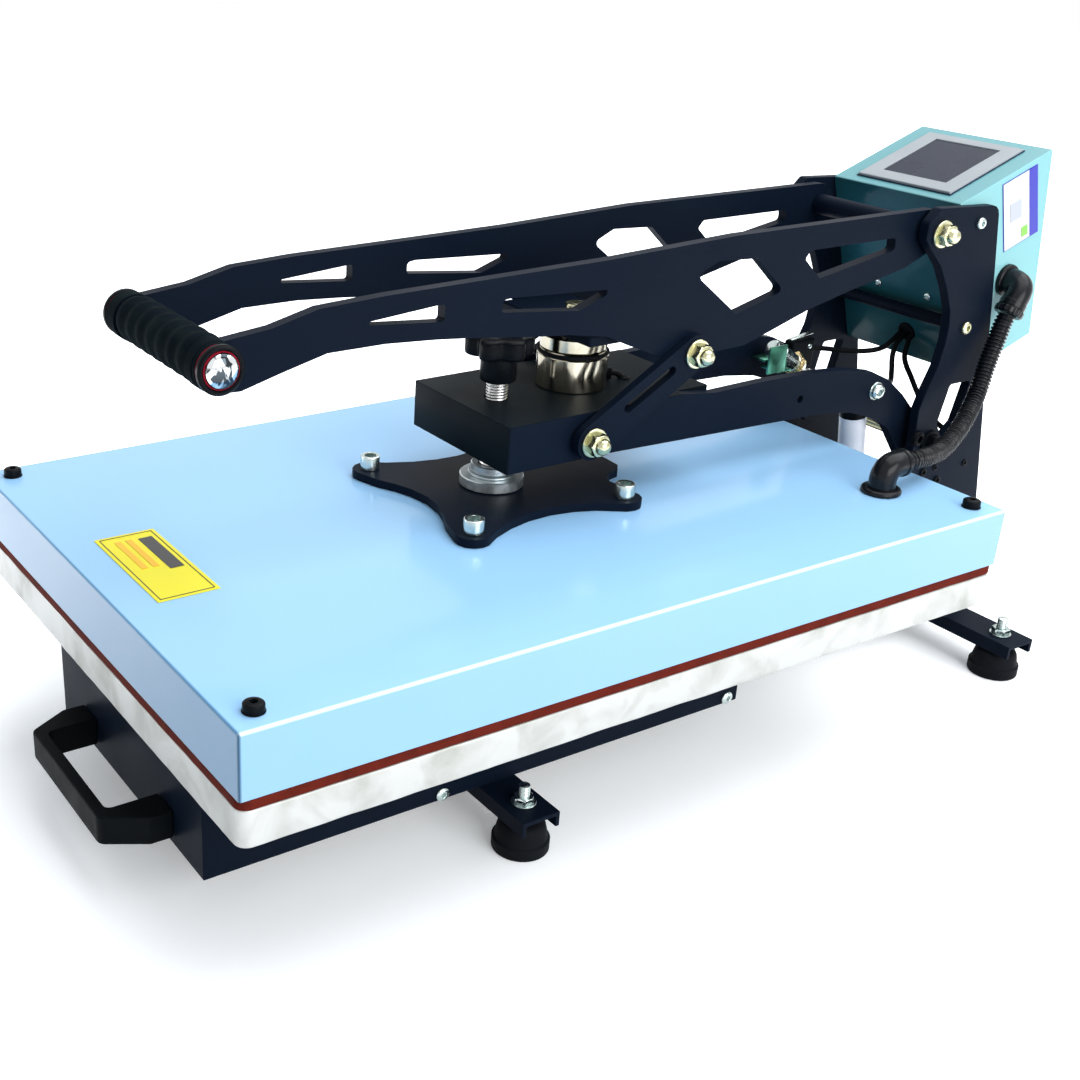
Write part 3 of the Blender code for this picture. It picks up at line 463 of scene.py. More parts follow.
def threaded(name, radius, pitch, low, high, place, steps=28):
    """A rod with a true helical thread."""
    depth, per_turn = 0.32 * pitch, 6
    count = int((high - low) / pitch * per_turn)
    rings = []
    for k in range(count + 1):
        height = low + (high - low) * k / count

        def reach(angle):
            phase = (height / pitch - angle / 2 / pi) % 1
            return radius - depth * (1 if k in (0, count) else abs(2 * phase - 1))

        rings.append(ring(steps, reach, height))
    return stood(name, rings, place, UP)


def smooth_route(points, gap):
    """Evenly spaced points on a Catmull-Rom curve through the route's own points."""
    padded = [points[0] * 2 - points[1], *points, points[-1] * 2 - points[-2]]
    fine = []
    for k in range(len(points) - 1):
        p0, p1, p2, p3 = padded[k : k + 4]
        for t in (i / 30 for i in range(30)):
            low_terms = 2 * p1 + (p2 - p0) * t + (2 * p0 - 5 * p1 + 4 * p2 - p3) * t**2
            fine.append(0.5 * (low_terms + (3 * p1 - p0 - 3 * p2 + p3) * t**3))
    fine.append(points[-1])
    lengths = [0]
    for a, b in zip(fine, fine[1:]):
        lengths.append(lengths[-1] + (b - a).length)
    count = max(2, round(lengths[-1] / gap))
    result, k = [], 0
    for i in range(count + 1):
        want = lengths[-1] * i / count
        while k < len(fine) - 2 and lengths[k + 1] < want:
            k += 1
        share = (want - lengths[k]) / (lengths[k + 1] - lengths[k])
        result.append(fine[k].lerp(fine[k + 1], min(1, share)))
    return result


def swept(name, points, radius_at, steps):
    """A tube along the points; radius_at(distance) gives its radius. All in metres."""
    heading = (points[1] - points[0]).normalized()
    across = heading.orthogonal().normalized()
    rings, gone = [], 0
    for i, point in enumerate(points):
        before, after = points[max(0, i - 1)], points[min(len(points) - 1, i + 1)]
        new_heading = (after - before).normalized()
        across.rotate(heading.rotation_difference(new_heading))
        heading = new_heading
        gone += (point - before).length if i else 0
        side = heading.cross(across)
        reach = radius_at(gone)
        turned = ((reach * cos(t), reach * sin(t)) for t in angles(steps))
        rings.append([point + across * u + side * v for u, v in turned])
    return loft(name, rings)


def round_edges(bm, edges, offset, segments):
    how = {"segments": segments, "profile": 0.5, "affect": "EDGES", "clamp_overlap": True}
    bmesh.ops.bevel(bm, geom=edges, offset=offset, **how)


def block(name, size, place, bevel=0.0005, segments=2, turn=Matrix.Identity(4)):
    bm = bmesh.new()
    bmesh.ops.create_cube(bm, size=1)
    bmesh.ops.scale(bm, vec=size, verts=bm.verts)
    round_edges(bm, list(bm.edges), bevel, segments)
    mesh = to_mesh(name, bm)
    mesh.transform(Matrix.Translation(place) @ turn)
    return mesh


def card(name, width, height, place, across, up, thickness=0.00025):
    """A thin label or panel whose width runs along across and whose height runs along up."""
    out = across.cross(up)
    turn = Matrix((across, up, out)).transposed().to_4x4()
    return block(name, (width, height, thickness), place + out * (thickness / 2), thickness * 0.3, 1, turn)


def refined(node, finish, bevel=0.0006, segments=2, smooth=35):
    """The CAD node's shape with its facets merged and its edges rounded."""
    bm = bmesh.new()
    bm.from_mesh(frame["nodes"][node].data)
    bmesh.ops.remove_doubles(bm, verts=bm.verts, dist=1e-5)
    bmesh.ops.dissolve_limit(bm, angle_limit=radians(1), verts=bm.verts, edges=bm.edges)
    sharp = radians(smooth)
    edges = [e for e in bm.edges if len(e.link_faces) == 2 and e.calc_face_angle(0) > sharp]
    if bevel:
        round_edges(bm, edges, bevel, segments)
    bmesh.ops.triangulate(bm, faces=[f for f in bm.faces if len(f.verts) > 4])
    harden(stand_in(to_mesh(f"{node}_skin", bm), finish, node, smooth))


# Fasteners
def cap_nut(name, place, direction, body, finish="yellow_zinc"):
    """Flange, hexagon and dome, its seat on the place."""
    profile = [(0, 14.5), (1.8, 14.4), (3.4, 13.8), (4.7, 12.8), (5.5, 11.3), (5.8, 9.8), (5.8, 8.9)]
    profile += [(6.4, 8.7), (7, 8.6, "hex"), (7.6, 8.3, "hex"), (8, 7.8, "hex"), (8.3, 7.4, "hex")]
    profile += [(8.3, 2.6, "hex"), (8.4, 2.3, "hex"), (9.8, 2.1), (10.2, 1.5), (10.3, 0.4), (10, 0), (0, 0)]
    piece(spun(name, profile, place, direction, 48, 7.2), finish, body, 28)


def hex_nut(name, place, direction, body, apothem, height, finish="zinc"):
    corner = apothem * 1.16
    profile = [(0, height), (apothem * 0.62, height), (apothem * 0.7, height - 0.2)]
    profile += [(apothem * 0.98, height - 0.1, "hex"), (corner * 0.96, height - 0.6, "hex")]
    profile += [(corner, height - 1.1, "hex"), (corner, 0.4, "hex"), (apothem, 0, "hex"), (0, 0)]
    piece(spun(name, profile, place, direction, 48, apothem), finish, body, 28)


def socket_screw(name, place, direction, body, radius, height, socket, round_top=0, finish="zinc"):
    """A socket screw's head: a straight cap, or a button when round_top is set."""
    well = socket * 1.16
    profile = [(0, height - socket * 1.3), (well, height - socket * 1.3, "hex")]
    profile += [(well, height - 0.2, "hex"), (socket * 1.22, height)]
    if round_top:
        flat = socket * 1.25
        for k in range(7):
            angle = radians(90 - 15 * k)
            profile.append((flat + (radius - flat) * cos(angle), height - round_top * (1 - sin(angle))))
        profile.append((radius, 0.3))
    else:
        profile += [(radius - 0.7, height), (radius - 0.2, height - 0.3), (radius, height - 0.8)]
        profile.append((radius, 0.4))
    profile += [(radius - 0.3, 0), (0, 0)]
    piece(spun(name, profile, place, direction, 48, socket), finish, body, 28)


def washer(name, place, direction, body, outer, inner, height, finish="zinc"):
    piece(tube_ring(name, outer, inner, 0, height, place, direction, 0.25), finish, body, 28)


# Base
def dress_base():
    refined("base_tray", "black_coat", 0.0005)
    refined("rear_plate", "black_coat")
    refined("tie_rod", "black_coat", 0)
    for end in ("front", "rear"):
        refined(f"crossbar_{end}", "black_coat", 0.0008, 3)
        for hand, _ in HANDS:
            dress_foot(f"{end}_{hand}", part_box(f"crossbar_{end}")[1].z)
    for member, finish in (("outer", "zinc"), ("middle", "steel"), ("inner", "zinc")):
        for hand, _ in HANDS:
            refined(f"slide_{member}_{hand}", finish, 0.0003, 1)


def dress_foot(label, seat):
    """Rubber foot, threaded stud and locknut."""
    low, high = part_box(f"foot_{label}")
    x, y, _ = (low + high) / 2
    centre = Vector((x, y, low.z))
    edge = (high.x - low.x) / 2 / MM
    profile = [(0, 22.2), (5, 22.2), (9, 22.1), (12.6, 21.6), (14.9, 20.3), (16.2, 18), (17, 14.5)]
    profile += [(17.6, 10.5), (18, 9.2), (edge, 8.4), (edge, 1.2), (edge - 0.4, 0.3), (edge - 1.2, 0), (0, 0)]
    stand_in(spun(f"foot_pad_{label}", profile, centre), "rubber", f"foot_{label}", 40)
    stud = threaded(f"foot_stud_{label}", 4, 1.25, 21, (high.z - low.z) / MM, centre)
    piece(stud, "zinc", "base", 60)
    on_bar = Vector((x, y, seat + 0.0002))
    washer(f"foot_washer_{label}", on_bar, UP, "base", 8.5, 4.4, 1)
    hex_nut(f"foot_nut_{label}", on_bar + UP * 0.0011, UP, "base", 6.2, 4.5)


# Drawer and lower platen
def dress_drawer():
    refined("drawer_box", "black_coat", 0.0008, 3)
    refined("drawer_handle", "satin_plastic", 0.0012, 4)
    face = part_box("drawer_box")[1].x + 0.0001
    for hand, sign in HANDS:
        for k, y in enumerate((-0.1095, 0.143)):
            place = beside(sign * face, at(0, y, -0.1505))
            socket_screw(f"drawer_screw_{hand}_{k}", place, RIGHT * sign, "drawer", 5, 2.6, 1.7, 1.6)
    plate_edge("lower_platen", "aluminium", 0.0012, 0.00035, 5)
    plate_edge("silicone_pad", "silicone", 0.0009, 0.0003, 11)


def plate_edge(node, finish, rounding, wander, seed):
    """A platen-sized slab with rounded corners, soft rims and a slightly wandering edge."""
    low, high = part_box(node)
    centre, half = (low + high) / 2, (high - low) / 2
    corner, gap = 0.008, 0.006
    outline = []
    for x, y in ((1, 0), (0, 1), (-1, 0), (0, -1)):
        outward, along = Vector((x, y)), Vector((-y, x))
        reach, span = (half.x, half.y - corner) if x else (half.y, half.x - corner)
        count = round(2 * span / gap)
        for i in range(count + 1):
            outline.append((outward * reach + along * (-span + 2 * span * i / count), outward))
        pivot = outward * (reach - corner) + along * span
        for i in range(1, 8):
            angle = pi / 2 * i / 8
            spoke = outward * cos(angle) + along * sin(angle)
            outline.append((pivot + spoke * corner, spoke))
    soft = rounding * 0.3
    rings = []
    for height, inset in (
        (-half.z, -rounding),
        (-half.z + soft, -soft),
        (-half.z + rounding, 0),
        (0, 0),
        (half.z - rounding, 0),
        (half.z - soft, -soft),
        (half.z, -rounding),
    ):
        points = []
        for point, outward in outline:
            spot = Vector((point.x, point.y, height)) * 45 + Vector((seed, 0, 0))
            flat = point + outward * (inset - abs(noise.noise(spot)) * 2 * wander)
            lift = noise.noise(spot * 0.7 + Vector((0, seed, 0))) * wander if inset else 0
            z = max(-half.z, min(half.z, height + lift))
            points.append(centre + Vector((flat.x, flat.y, z)))
        rings.append(points)
    harden(stand_in(loft(f"{node}_slab", rings), finish, node, 60))


# Heater cover and what stands on it
def dress_cover():
    low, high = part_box("heater_cover")
    bm = bmesh.new()
    bmesh.ops.create_cube(bm, size=1)
    bmesh.ops.scale(bm, vec=high - low, verts=bm.verts)
    bmesh.ops.delete(bm, geom=[f for f in bm.faces if f.normal.z < -0.5], context="FACES")
    round_edges(bm, [e for e in bm.edges if len(e.link_faces) == 2], 0.0018, 5)
    mesh = to_mesh("heater_cover_shell", bm)
    mesh.transform(Matrix.Translation((low + high) / 2))
    shell = stand_in(mesh, "blue_enamel", "heater_cover", 60)
    sheet = shell.modifiers.new("sheet", "SOLIDIFY")
    sheet.thickness = 0.0019
    sheet.offset = -1
    sheet.use_even_offset = True
    harden(shell)
    refined("heating_platen", "aluminium")
    for i, (sx, sy) in enumerate(CORNERS):
        place = at(sx * 0.1835, sy * 0.2825, 0.0001)
        washer(f"cover_washer_{i}", place, UP, "upper_platen", 6.6, 3, 0.8, "plastic")
        place += UP * 0.0008
        socket_screw(f"cover_screw_{i}", place, UP, "upper_platen", 6.1, 5.2, 2.2, 1.6, "plastic")
    dress_notice_card()


def dress_notice_card():
    """A blank notice card: yellow film with a thin frame and two plain bars."""
    width, height, rim, line = 0.1, 0.041, 0.0028, 0.0006
    inner_width, inner_height = width - 2 * rim, height - 2 * rim

    def layer(name, size, x, y, finish, lift=0.0003):
        place = at(-0.002, -0.2545, 0.0002) + Vector((x, y, lift))
        piece(card(name, *size, place, RIGHT, REAR), finish, "upper_platen")

    layer("notice_card", (width, height), 0, 0, "yellow_film", 0)
    for i, (sx, sy) in enumerate(((0, -1), (0, 1), (-1, 0), (1, 0))):
        size = (inner_width, line) if sy else (line, inner_height)
        layer(f"notice_line_{i}", size, sx * inner_width / 2, sy * inner_height / 2, "black_film")
    layer("notice_bar", (0.05, 0.0095), -0.014, 0.01, "black_film")
    for i, y in enumerate((-0.001, -0.0085)):
        layer(f"notice_stripe_{i}", (0.044, 0.0042), -0.018, y, "orange_film")


def dress_spider():
    refined("spider_plate", "black_coat", 0.0009, 3)
    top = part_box("spider_plate")[1].z + 0.0001
    for i, (sx, sy) in enumerate(CORNERS):
        place = on_axis(top) + Vector((sx * 0.064, 0.0035 + sy * 0.0637, 0))
        socket_screw(f"spider_screw_{i}", place, UP, "upper_platen", 7, 10, 4.1)


def dress_spindle():
    seat = on_axis(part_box("thrust_collar")[0].z)
    base = tube_ring("collar_base", 22.5, 10.2, 0, 7.8, seat, UP, 0.7, 64)
    stand_in(base, "ground_steel", "thrust_collar", 30)
    race = tube_ring("collar_race", 16.6, 10.2, 7.9, 9.8, seat, UP, 0.4, 48)
    piece(race, "ground_steel", "upper_platen")
    upper = tube_ring("collar_upper", 15, 10.2, 9.9, 16, seat, UP, 0.8, 48)
    piece(upper, "ground_steel", "upper_platen")
    shoulder = [(0, 18), (8, 18), (9.2, 17.7), (9.6, 16.8), (9.6, 1), (0, 1)]
    piece(spun("spindle_shoulder", shoulder, seat), "steel", "spindle")
    rod = threaded("spindle_thread", 7.7, 2, 18, (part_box("spindle")[1].z - seat.z) / MM, seat, 32)
    stand_in(rod, "steel", "spindle", 60)
    dress_knob()


def dress_knob():
    """Six-lobed hand knob with a rounded rim and a round neck."""
    low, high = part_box("pressure_knob")
    top = (high.z - low.z) / MM
    levels = [(0, top - 0.8), (6, top - 1), (10, top - 0.2), (15, top), (19.5, top - 0.3)]
    levels += [(21.2, top - 1.2), (21.8, top - 2.8), (21.8, top - 11.2), (21.2, top - 13), (19.5, top - 13.9)]
    levels += [(14, top - 14.2), (12.7, top - 15), (12.5, top - 17), (12.5, 1.6), (12, 0.6)]
    rings = []
    for radius, z in levels + [(11.2, 0), (0, 0)]:
        swell = 1.9 * max(0, min(1, (radius - 15) / 4.5))

        def reach(angle):
            wave = cos(6 * angle)
            return radius + swell * (wave if wave > 0 else 1.9 * wave)

        rings.append(ring(96, reach, z))
    grip = stood("pressure_knob_grip", rings, on_axis(low.z), UP)
    stand_in(grip, "plastic", "pressure_knob", 45)


def dress_cover_gland():
    """Moulded right-angle gland: flange, smooth elbow and a lip at its mouth."""
    low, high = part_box("cover_gland")
    half = (high.x - low.x) / 2
    base = Vector((low.x + half, low.y + half, low.z))
    bend, start, rise = 0.01, 0.0006, 0.0085
    route = [base + UP * (start + rise * i / 6) for i in range(6)]
    for i in range(13):
        turn = pi / 2 * i / 12
        route.append(base + Vector((0, bend * (1 - cos(turn)), start + rise + bend * sin(turn))))
    while route[-1].y < high.y - 0.0016:
        route.append(route[-1] + REAR * 0.0015)
    elbow = swept("cover_elbow", route, lambda gone: 0.0096, 32)
    stand_in(elbow, "gloss_plastic", "cover_gland", 40)
    edge = half / MM
    flange = [(0, 4), (edge - 4.2, 4), (edge - 1.8, 3.7), (edge - 0.6, 3), (edge, 2), (edge, 0.5)]
    flange += [(edge - 0.4, 0), (0, 0)]
    piece(spun("cover_flange", flange, base, UP, 56), "gloss_plastic", "upper_platen")
    mouth = Vector((base.x, high.y - 0.004, route[-1].z))
    piece(tube_ring("cover_elbow_lip", 10.3, 8.1, 0, 3.6, mouth, REAR, 0.5), "gloss_plastic", "upper_platen")


# Press arm
def dress_press_arm():
    for hand, _ in HANDS:
        refined(f"arm_plate_{hand}", "black_coat", 0.0007, 3)
    refined("press_block", "black_block", 0.0012, 3)
    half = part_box("arm_plate_right")[1].x
    low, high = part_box("press_block")
    spot = Vector((0, low.y - 0.0005, (low.z + high.z) / 2))
    apron = block("press_apron", (2 * half, 0.0008, high.z - low.z), spot, 0.0003)
    piece(apron, "black_block", "press_arm")
    seat = on_axis(high.z)
    roof = bored_sheet("press_roof", (-half, low.y - seat.y - 0.0007), (half, 0.119), 0.0088, seat)
    piece(roof, "black_block", "press_arm")
    grommet = tube_ring("magnet_grommet", 4.2, 2, 0, 1.4, at(0.0083, 0.1062, 0.0697), UP, 0.5, 32)
    piece(grommet, "cable", "press_arm")
    shaft_and_nuts("arm_shaft", "base", "satin_plastic")
    dress_magnet()
    dress_switch()
    dress_damper()
    place = beside(half + 0.0001, at(0, 0.322, 0.041))
    washer("gas_bolt_washer", place, RIGHT, "press_arm", 7.2, 3, 1)
    socket_screw("gas_bolt_head", place + RIGHT * 0.001, RIGHT, "press_arm", 6.2, 4.2, 2.4, 3)


def bored_sheet(name, low, high, radius, seat):
    """A thin rectangular sheet with a bore at its seat; low and high are its corners from there."""
    corners = [(high[0], high[1]), (low[0], high[1]), (low[0], low[1]), (high[0], low[1])]
    turns = [a + pi / 64 for a in angles(64)]
    outer, inner = [], []
    for angle in sorted(turns + [atan2(y, x) % (2 * pi) for x, y in corners]):
        spoke = Vector((cos(angle), sin(angle), 0))
        reach = min((high[k] if spoke[k] > 0 else low[k]) / spoke[k] for k in (0, 1) if abs(spoke[k]) > 1e-6)
        outer.append(seat + spoke * reach)
        inner.append(seat + spoke * radius)
    under, over = UP * 0.00005, UP * 0.00025
    levels = ((outer, under), (outer, over), (inner, over), (inner, under))
    return loft(name, [[point + lift for point in edge] for edge, lift in levels], loop=True)


def shaft_and_nuts(node, body, finish="yellow_zinc"):
    """A cross shaft with a cap nut seated on each outer plate."""
    centre = middle(node)
    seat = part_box("post_right")[1].x
    reach = seat / MM + 3
    profile = [(0, reach), (5, reach), (5, -reach), (0, -reach)]
    bar = spun(f"{node}_bar", profile, beside(0, centre), RIGHT, 32)
    stand_in(bar, "yellow_zinc", node)
    for hand, sign in HANDS:
        cap_nut(f"{node}_nut_{hand}", beside(sign * (seat + 0.0002), centre), RIGHT * sign, body, finish)


def dress_magnet():
    low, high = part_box("electromagnet")
    seat = Vector((0, (low.y + high.y) / 2, low.z))
    top, edge = (high.z - low.z) / MM, (high.x - low.x) / 2 / MM
    profile = [(0, top - 0.3), (11, top - 0.3), (11.5, top - 0.8), (12.5, top - 0.8), (13, top - 0.3)]
    profile += [(22.8, top - 0.3), (23.6, top - 1.2), (23.7, top - 3), (24.6, top - 3.8), (edge, top - 4.4)]
    pot = spun("magnet_pot", profile + [(edge, 0.6), (edge - 0.6, 0), (0, 0)], seat, UP, 96)
    stand_in(pot, "nickel", "electromagnet", 30)
    seal = o_ring("magnet_seal", 0.024, 0.0014, seat + UP * (high.z - low.z - 0.002))
    piece(seal, "rubber", "press_arm", 60)
    spot = seat + Vector((0.004, 0.0285, 0.0045))
    terminal = block("magnet_terminal", (0.007, 0.006, 0.0085), spot, 0.0008, 3)
    piece(terminal, "satin_plastic", "press_arm")


def dress_switch():
    refined("limit_switch", "satin_plastic", 0.0008, 3)
    low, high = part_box("limit_switch")
    x, y, _ = (low + high) / 2
    for i, share in enumerate((0.25, 0.75)):
        place = beside(high.x, low.lerp(high, share))
        socket_screw(f"switch_screw_{i}", place, RIGHT, "press_arm", 2.2, 1, 0.8, 0.6)
    tilt = Matrix.Rotation(radians(7), 4, "X")
    spot = Vector((x, y, high.z + 0.0022))
    lever = block("switch_lever", (0.005, 0.024, 0.0006), spot, 0.0002, 2, tilt)
    piece(lever, "zinc", "press_arm")
    button = [(0, 1.6), (1, 1.4), (1.3, 0.8), (1.3, -0.2), (0, -0.2)]
    place = Vector((x, y - 0.004, high.z))
    piece(spun("switch_button", button, place, UP, 20), "satin_plastic", "press_arm")


def dress_damper():
    """Bracketed damper: body, brass nut and plunger on one tilted line."""
    x = middle("damper_rod").x
    line = Vector((0, 0.045, -0.027)).normalized()
    head = at(x, 0.292, 0.057)
    profile = [(0, 0), (5.2, 0.2), (6.8, 1), (7.4, 2.4), (7.4, 10), (6.9, 10.4), (6.9, 11.6), (7.4, 12)]
    profile += [(7.4, 29), (6.9, 29.4), (6.9, 30.6), (7.4, 31), (7.4, 39.2), (6.6, 40.8), (5, 42)]
    body = spun("damper_body", profile + [(4.6, 43), (0, 43)], head, line)
    stand_in(body, "zinc", "arm_damper")
    hex_nut("damper_nut", head + line * 0.031, line, "press_arm", 8.8, 5, "brass")
    rod = [(0, 42), (3, 42), (3, 52), (4, 52.4), (4.5, 53.2), (4.5, 57.2), (3.8, 58), (0, 58)]
    stand_in(spun("damper_plunger", rod, head, line, 28), "steel", "damper_rod")
    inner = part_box("arm_plate_left")[1].x + 0.0003
    width = x - inner - 0.006
    # Damper brackets, in steel with a painted green reflection in its colour.
    for name, size, place in (
        ("bracket", (width, 0.015, 0.002), at(inner + width / 2, 0.3, 0.044)),
        ("cheek", (0.002, 0.019, 0.022), at(x + 0.009, 0.29, 0.05)),
        ("shelf", (0.019, 0.015, 0.002), at(x, 0.3, 0.0392)),
    ):
        piece(block(f"damper_{name}", size, place), "painted_green_reflection_zinc", "press_arm")


# Lever and links
def dress_lever():
    for hand, _ in HANDS:
        refined(f"lever_plate_{hand}", "black_coat", 0.0007, 3)
    refined("armature_bridge", "black_coat", 0.0008, 3)
    shaft_and_nuts("lever_shaft", "base")
    low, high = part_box("lever_sleeve")
    centre = beside(0, (low + high) / 2)
    radius = (high.z - low.z) / 2 / MM
    spacer = tube_ring("lever_spacer", radius, 5.4, low.x / MM, high.x / MM, centre, RIGHT, 0.6)
    stand_in(spacer, "black_coat", "lever_sleeve")
    dress_armature()
    dress_grip()


def dress_armature():
    low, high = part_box("armature")
    seat = Vector((0, (low.y + high.y) / 2, low.z))
    profile = [(0, 15), (8.6, 15), (9, 14.6), (9, 10.4), (9.4, 10), (22.5, 10), (23.5, 9.1)]
    disc = spun("armature_disc", profile + [(23.5, 1), (22.9, 0.3), (0, 0.3)], seat, UP, 80)
    stand_in(disc, "nickel", "armature", 30)
    place = Vector((0, seat.y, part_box("armature_bridge")[1].z + 0.0001))
    washer("armature_washer", place, UP, "lever", 10, 4, 1.2)
    hex_nut("armature_nut", place + UP * 0.0012, UP, "lever", 7.5, 6, "yellow_zinc")


def dress_grip():
    """Foam sleeve with shallow rings on a tube whose ends carry chrome domes."""
    centre = middle("grip_sleeve")
    axis = beside(0, centre)
    half, grooves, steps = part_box("grip_sleeve")[1].x / MM, 7, 126
    profile = [(0, half), (12, half), (13.4, half - 0.5)]
    for share in (i / steps for i in range(1, steps)):
        profile.append((14.3 - 0.6 * cos(2 * pi * grooves * share), half - 2 * half * share))
    sleeve = spun("grip_foam", profile + [(13.4, 0.5 - half), (12, -half), (0, -half)], axis, RIGHT, 48)
    stand_in(sleeve, "foam", "grip_sleeve", 60)
    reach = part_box("grip_tube")[1].x / MM - 5
    bar = spun("grip_bar", [(0, reach), (10.5, reach), (10.5, -reach), (0, -reach)], axis, RIGHT)
    stand_in(bar, "steel", "grip_tube")
    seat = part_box("lever_plate_right")[1].x
    for hand, sign in HANDS:
        side = RIGHT * sign
        place = beside(sign * (seat + 0.0002), centre - UP * 0.0006)
        for name, outer, inner, low, high, chamfer, finish, slot, smooth in (
            ("stub", 14.4, 10.6, 0, 4, 0.4, "foam", "black_rubber", 35),
            ("wrap", 14.9, 14, -8.4, 0.6, 0.4, "foam", "black_rubber", 35),
            ("ring", 14, 10.6, 4, 4.8, 0.2, "red_trim", None, 35),
            ("collar", 14.6, 11, 4.8, 9.6, 1.3, "plastic", "black_plastic", 40),
            ("lip", 11.2, 10.4, 5, 8.9, 0.2, "red_trim", None, 35),
        ):
            mesh = tube_ring(f"grip_{name}_{hand}", outer, inner, low, high, place, side, chamfer, 56)
            piece(mesh, finish, "lever", smooth)
        dome = [(0, 13.3), (3, 13.1), (5.8, 12.5), (8, 11.7), (9.6, 10.7), (10.3, 9.8), (10.3, 6), (0, 6)]
        piece(spun(f"grip_cap_{hand}", dome, place, side, 48), "polished_cap", "lever", 40)


def dress_links():
    for hand, sign in HANDS:
        refined(f"link_{hand}", "black_coat", 0.0008, 3)
        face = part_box(f"link_{hand}")[sign > 0].x
        for end, body, flange, thick in (("upper", "lever", 8, 5.8), ("lower", "links", 9.4, 2.4)):
            node = f"link_bolt_{end}_{hand}"
            centre, inner = middle(node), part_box(node)[sign < 0].x
            length = abs(face - inner) / MM + 3
            profile = [(0, length), (5, length), (5, thick + 0.4), (flange - 0.4, thick)]
            profile += [(flange, thick - 0.3), (flange, 0.3), (flange - 0.3, 0), (0, 0)]
            shank = spun(f"{node}_shank", profile, beside(inner, centre), RIGHT * sign, 32)
            stand_in(shank, "yellow_zinc", node)
            cap_nut(f"{node}_nut", beside(face + sign * 0.0002, centre), RIGHT * sign, body)


# Rear frame
def dress_posts():
    for hand, sign in HANDS:
        refined(f"post_{hand}", "black_coat", 0.0008, 3)
        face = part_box(f"post_{hand}")[sign > 0].x + sign * 0.0001
        side = RIGHT * sign
        place = beside(face, at(0, 0.3885, 0.1662))
        socket_screw(f"post_screw_{hand}", place, side, "base", 4.5, 3.5, 1.8, 2.2)
        place = beside(face, middle("tie_rod"))
        socket_screw(f"tie_screw_{hand}", place, side, "base", 5, 3.5, 2, 2, "yellow_zinc")
        for i, (y, z, radius, proud) in enumerate(
            (
                (0.3637, -0.0004, 6.2, 4),
                (0.431, -0.0334, 3, 1),
                (0.394, -0.0308, 2.6, 1),
                (0.3798, -0.0324, 3.6, 1.6),
                (0.399, -0.0424, 3.6, 1.6),
            )
        ):
            name, place = f"post_bolt_{hand}_{i}", beside(face, at(0, y, z))
            socket_screw(name, place, side, "base", radius, proud, radius * 0.45, proud * 0.7, "plastic")


def dress_gas_spring():
    """Painted cylinder with a blank label, a black cap and a chrome rod."""
    x = middle("gas_spring_barrel").x
    top, foot = at(x, 0.325, 0.037), at(x, 0.352, -0.13)
    line = (top - foot).normalized()
    end = (top - foot).length / MM
    profile = [(0, end - 2), (6.2, end - 2.2), (8, end - 3.4), (9.8, end - 6), (10.5, end - 8.5)]
    cap = spun("gas_cap", profile + [(10.5, end - 24), (0, end - 24)], foot, line)
    piece(cap, "plastic", "gas_barrel", 40, "gas_spring_barrel")
    tube = [(0, end - 23.8), (10.3, end - 23.8), (10.3, 48), (9.7, 46.2), (8, 45), (0, 45)]
    piece(spun("gas_tube", tube, foot, line), "black_coat", "gas_barrel")
    label = tube_ring("gas_label", 10.45, 10.35, end - 72, end - 24, foot, line, 0.02, 64)
    piece(label, "white_film", "gas_barrel")
    rod = [(0, 50), (4, 50), (4, 11), (7.2, 8.5), (8, 7), (8, -8.5), (7, -10), (0, -10)]
    stand_in(spun("gas_rod_bar", rod, foot, line, 32), "chrome", "gas_spring_rod")


# Control box
BOX_TILT = radians(19)
ALONG = Vector((0, cos(BOX_TILT), sin(BOX_TILT)))
RISE = Vector((0, -sin(BOX_TILT), cos(BOX_TILT)))
BOX_TAPER = 0.027 / 0.1475


def on_box(x, along, down):
    """A place on the tilted box, from its upper front edge."""
    return at(x, 0.373, 0.18) + ALONG * along - RISE * down


def dress_control_box():
    refined("control_box", "mint_enamel", 0.001, 3, 30)
    refined("control_box_panel", "mint_enamel", 0.0003)
    dress_screen()
    for i, x in enumerate((-0.0222, 0.0271)):
        socket_screw(f"box_screw_{i}", on_box(x, -0.0001, 0.0858), -ALONG, "base", 3.2, 1.8, 1.3, 1.4)
    mesh = o_ring("box_grommet", 0.0062, 0.0019, Vector(), 40)
    mesh.transform(facing(on_box(0.0042, -0.0004, 0.124), -ALONG))
    piece(mesh, "rubber", "base", 60)
    plug = [(0, 0.6), (5.8, 0.6), (5.8, 0.1), (0, 0.1)]
    web = spun("box_grommet_web", plug, on_box(0.0042, -0.0002, 0.124), -ALONG, 32)
    piece(web, "rubber", "base")
    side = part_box("control_box")[1].x
    dress_box_card(side)
    dress_box_gland(side)
    rear_tilt = BOX_TILT - atan(BOX_TAPER)
    out = Vector((0, cos(rear_tilt), sin(rear_tilt)))
    for i, (x, down) in enumerate(((-0.05, 0.018), (0.05, 0.018), (-0.05, 0.126), (0.05, 0.126))):
        place = on_box(x, 0.1035 - BOX_TAPER * down, down) + out * 0.0024
        socket_screw(f"panel_screw_{i}", place, out, "base", 3, 1.8, 1.2, 1.4)


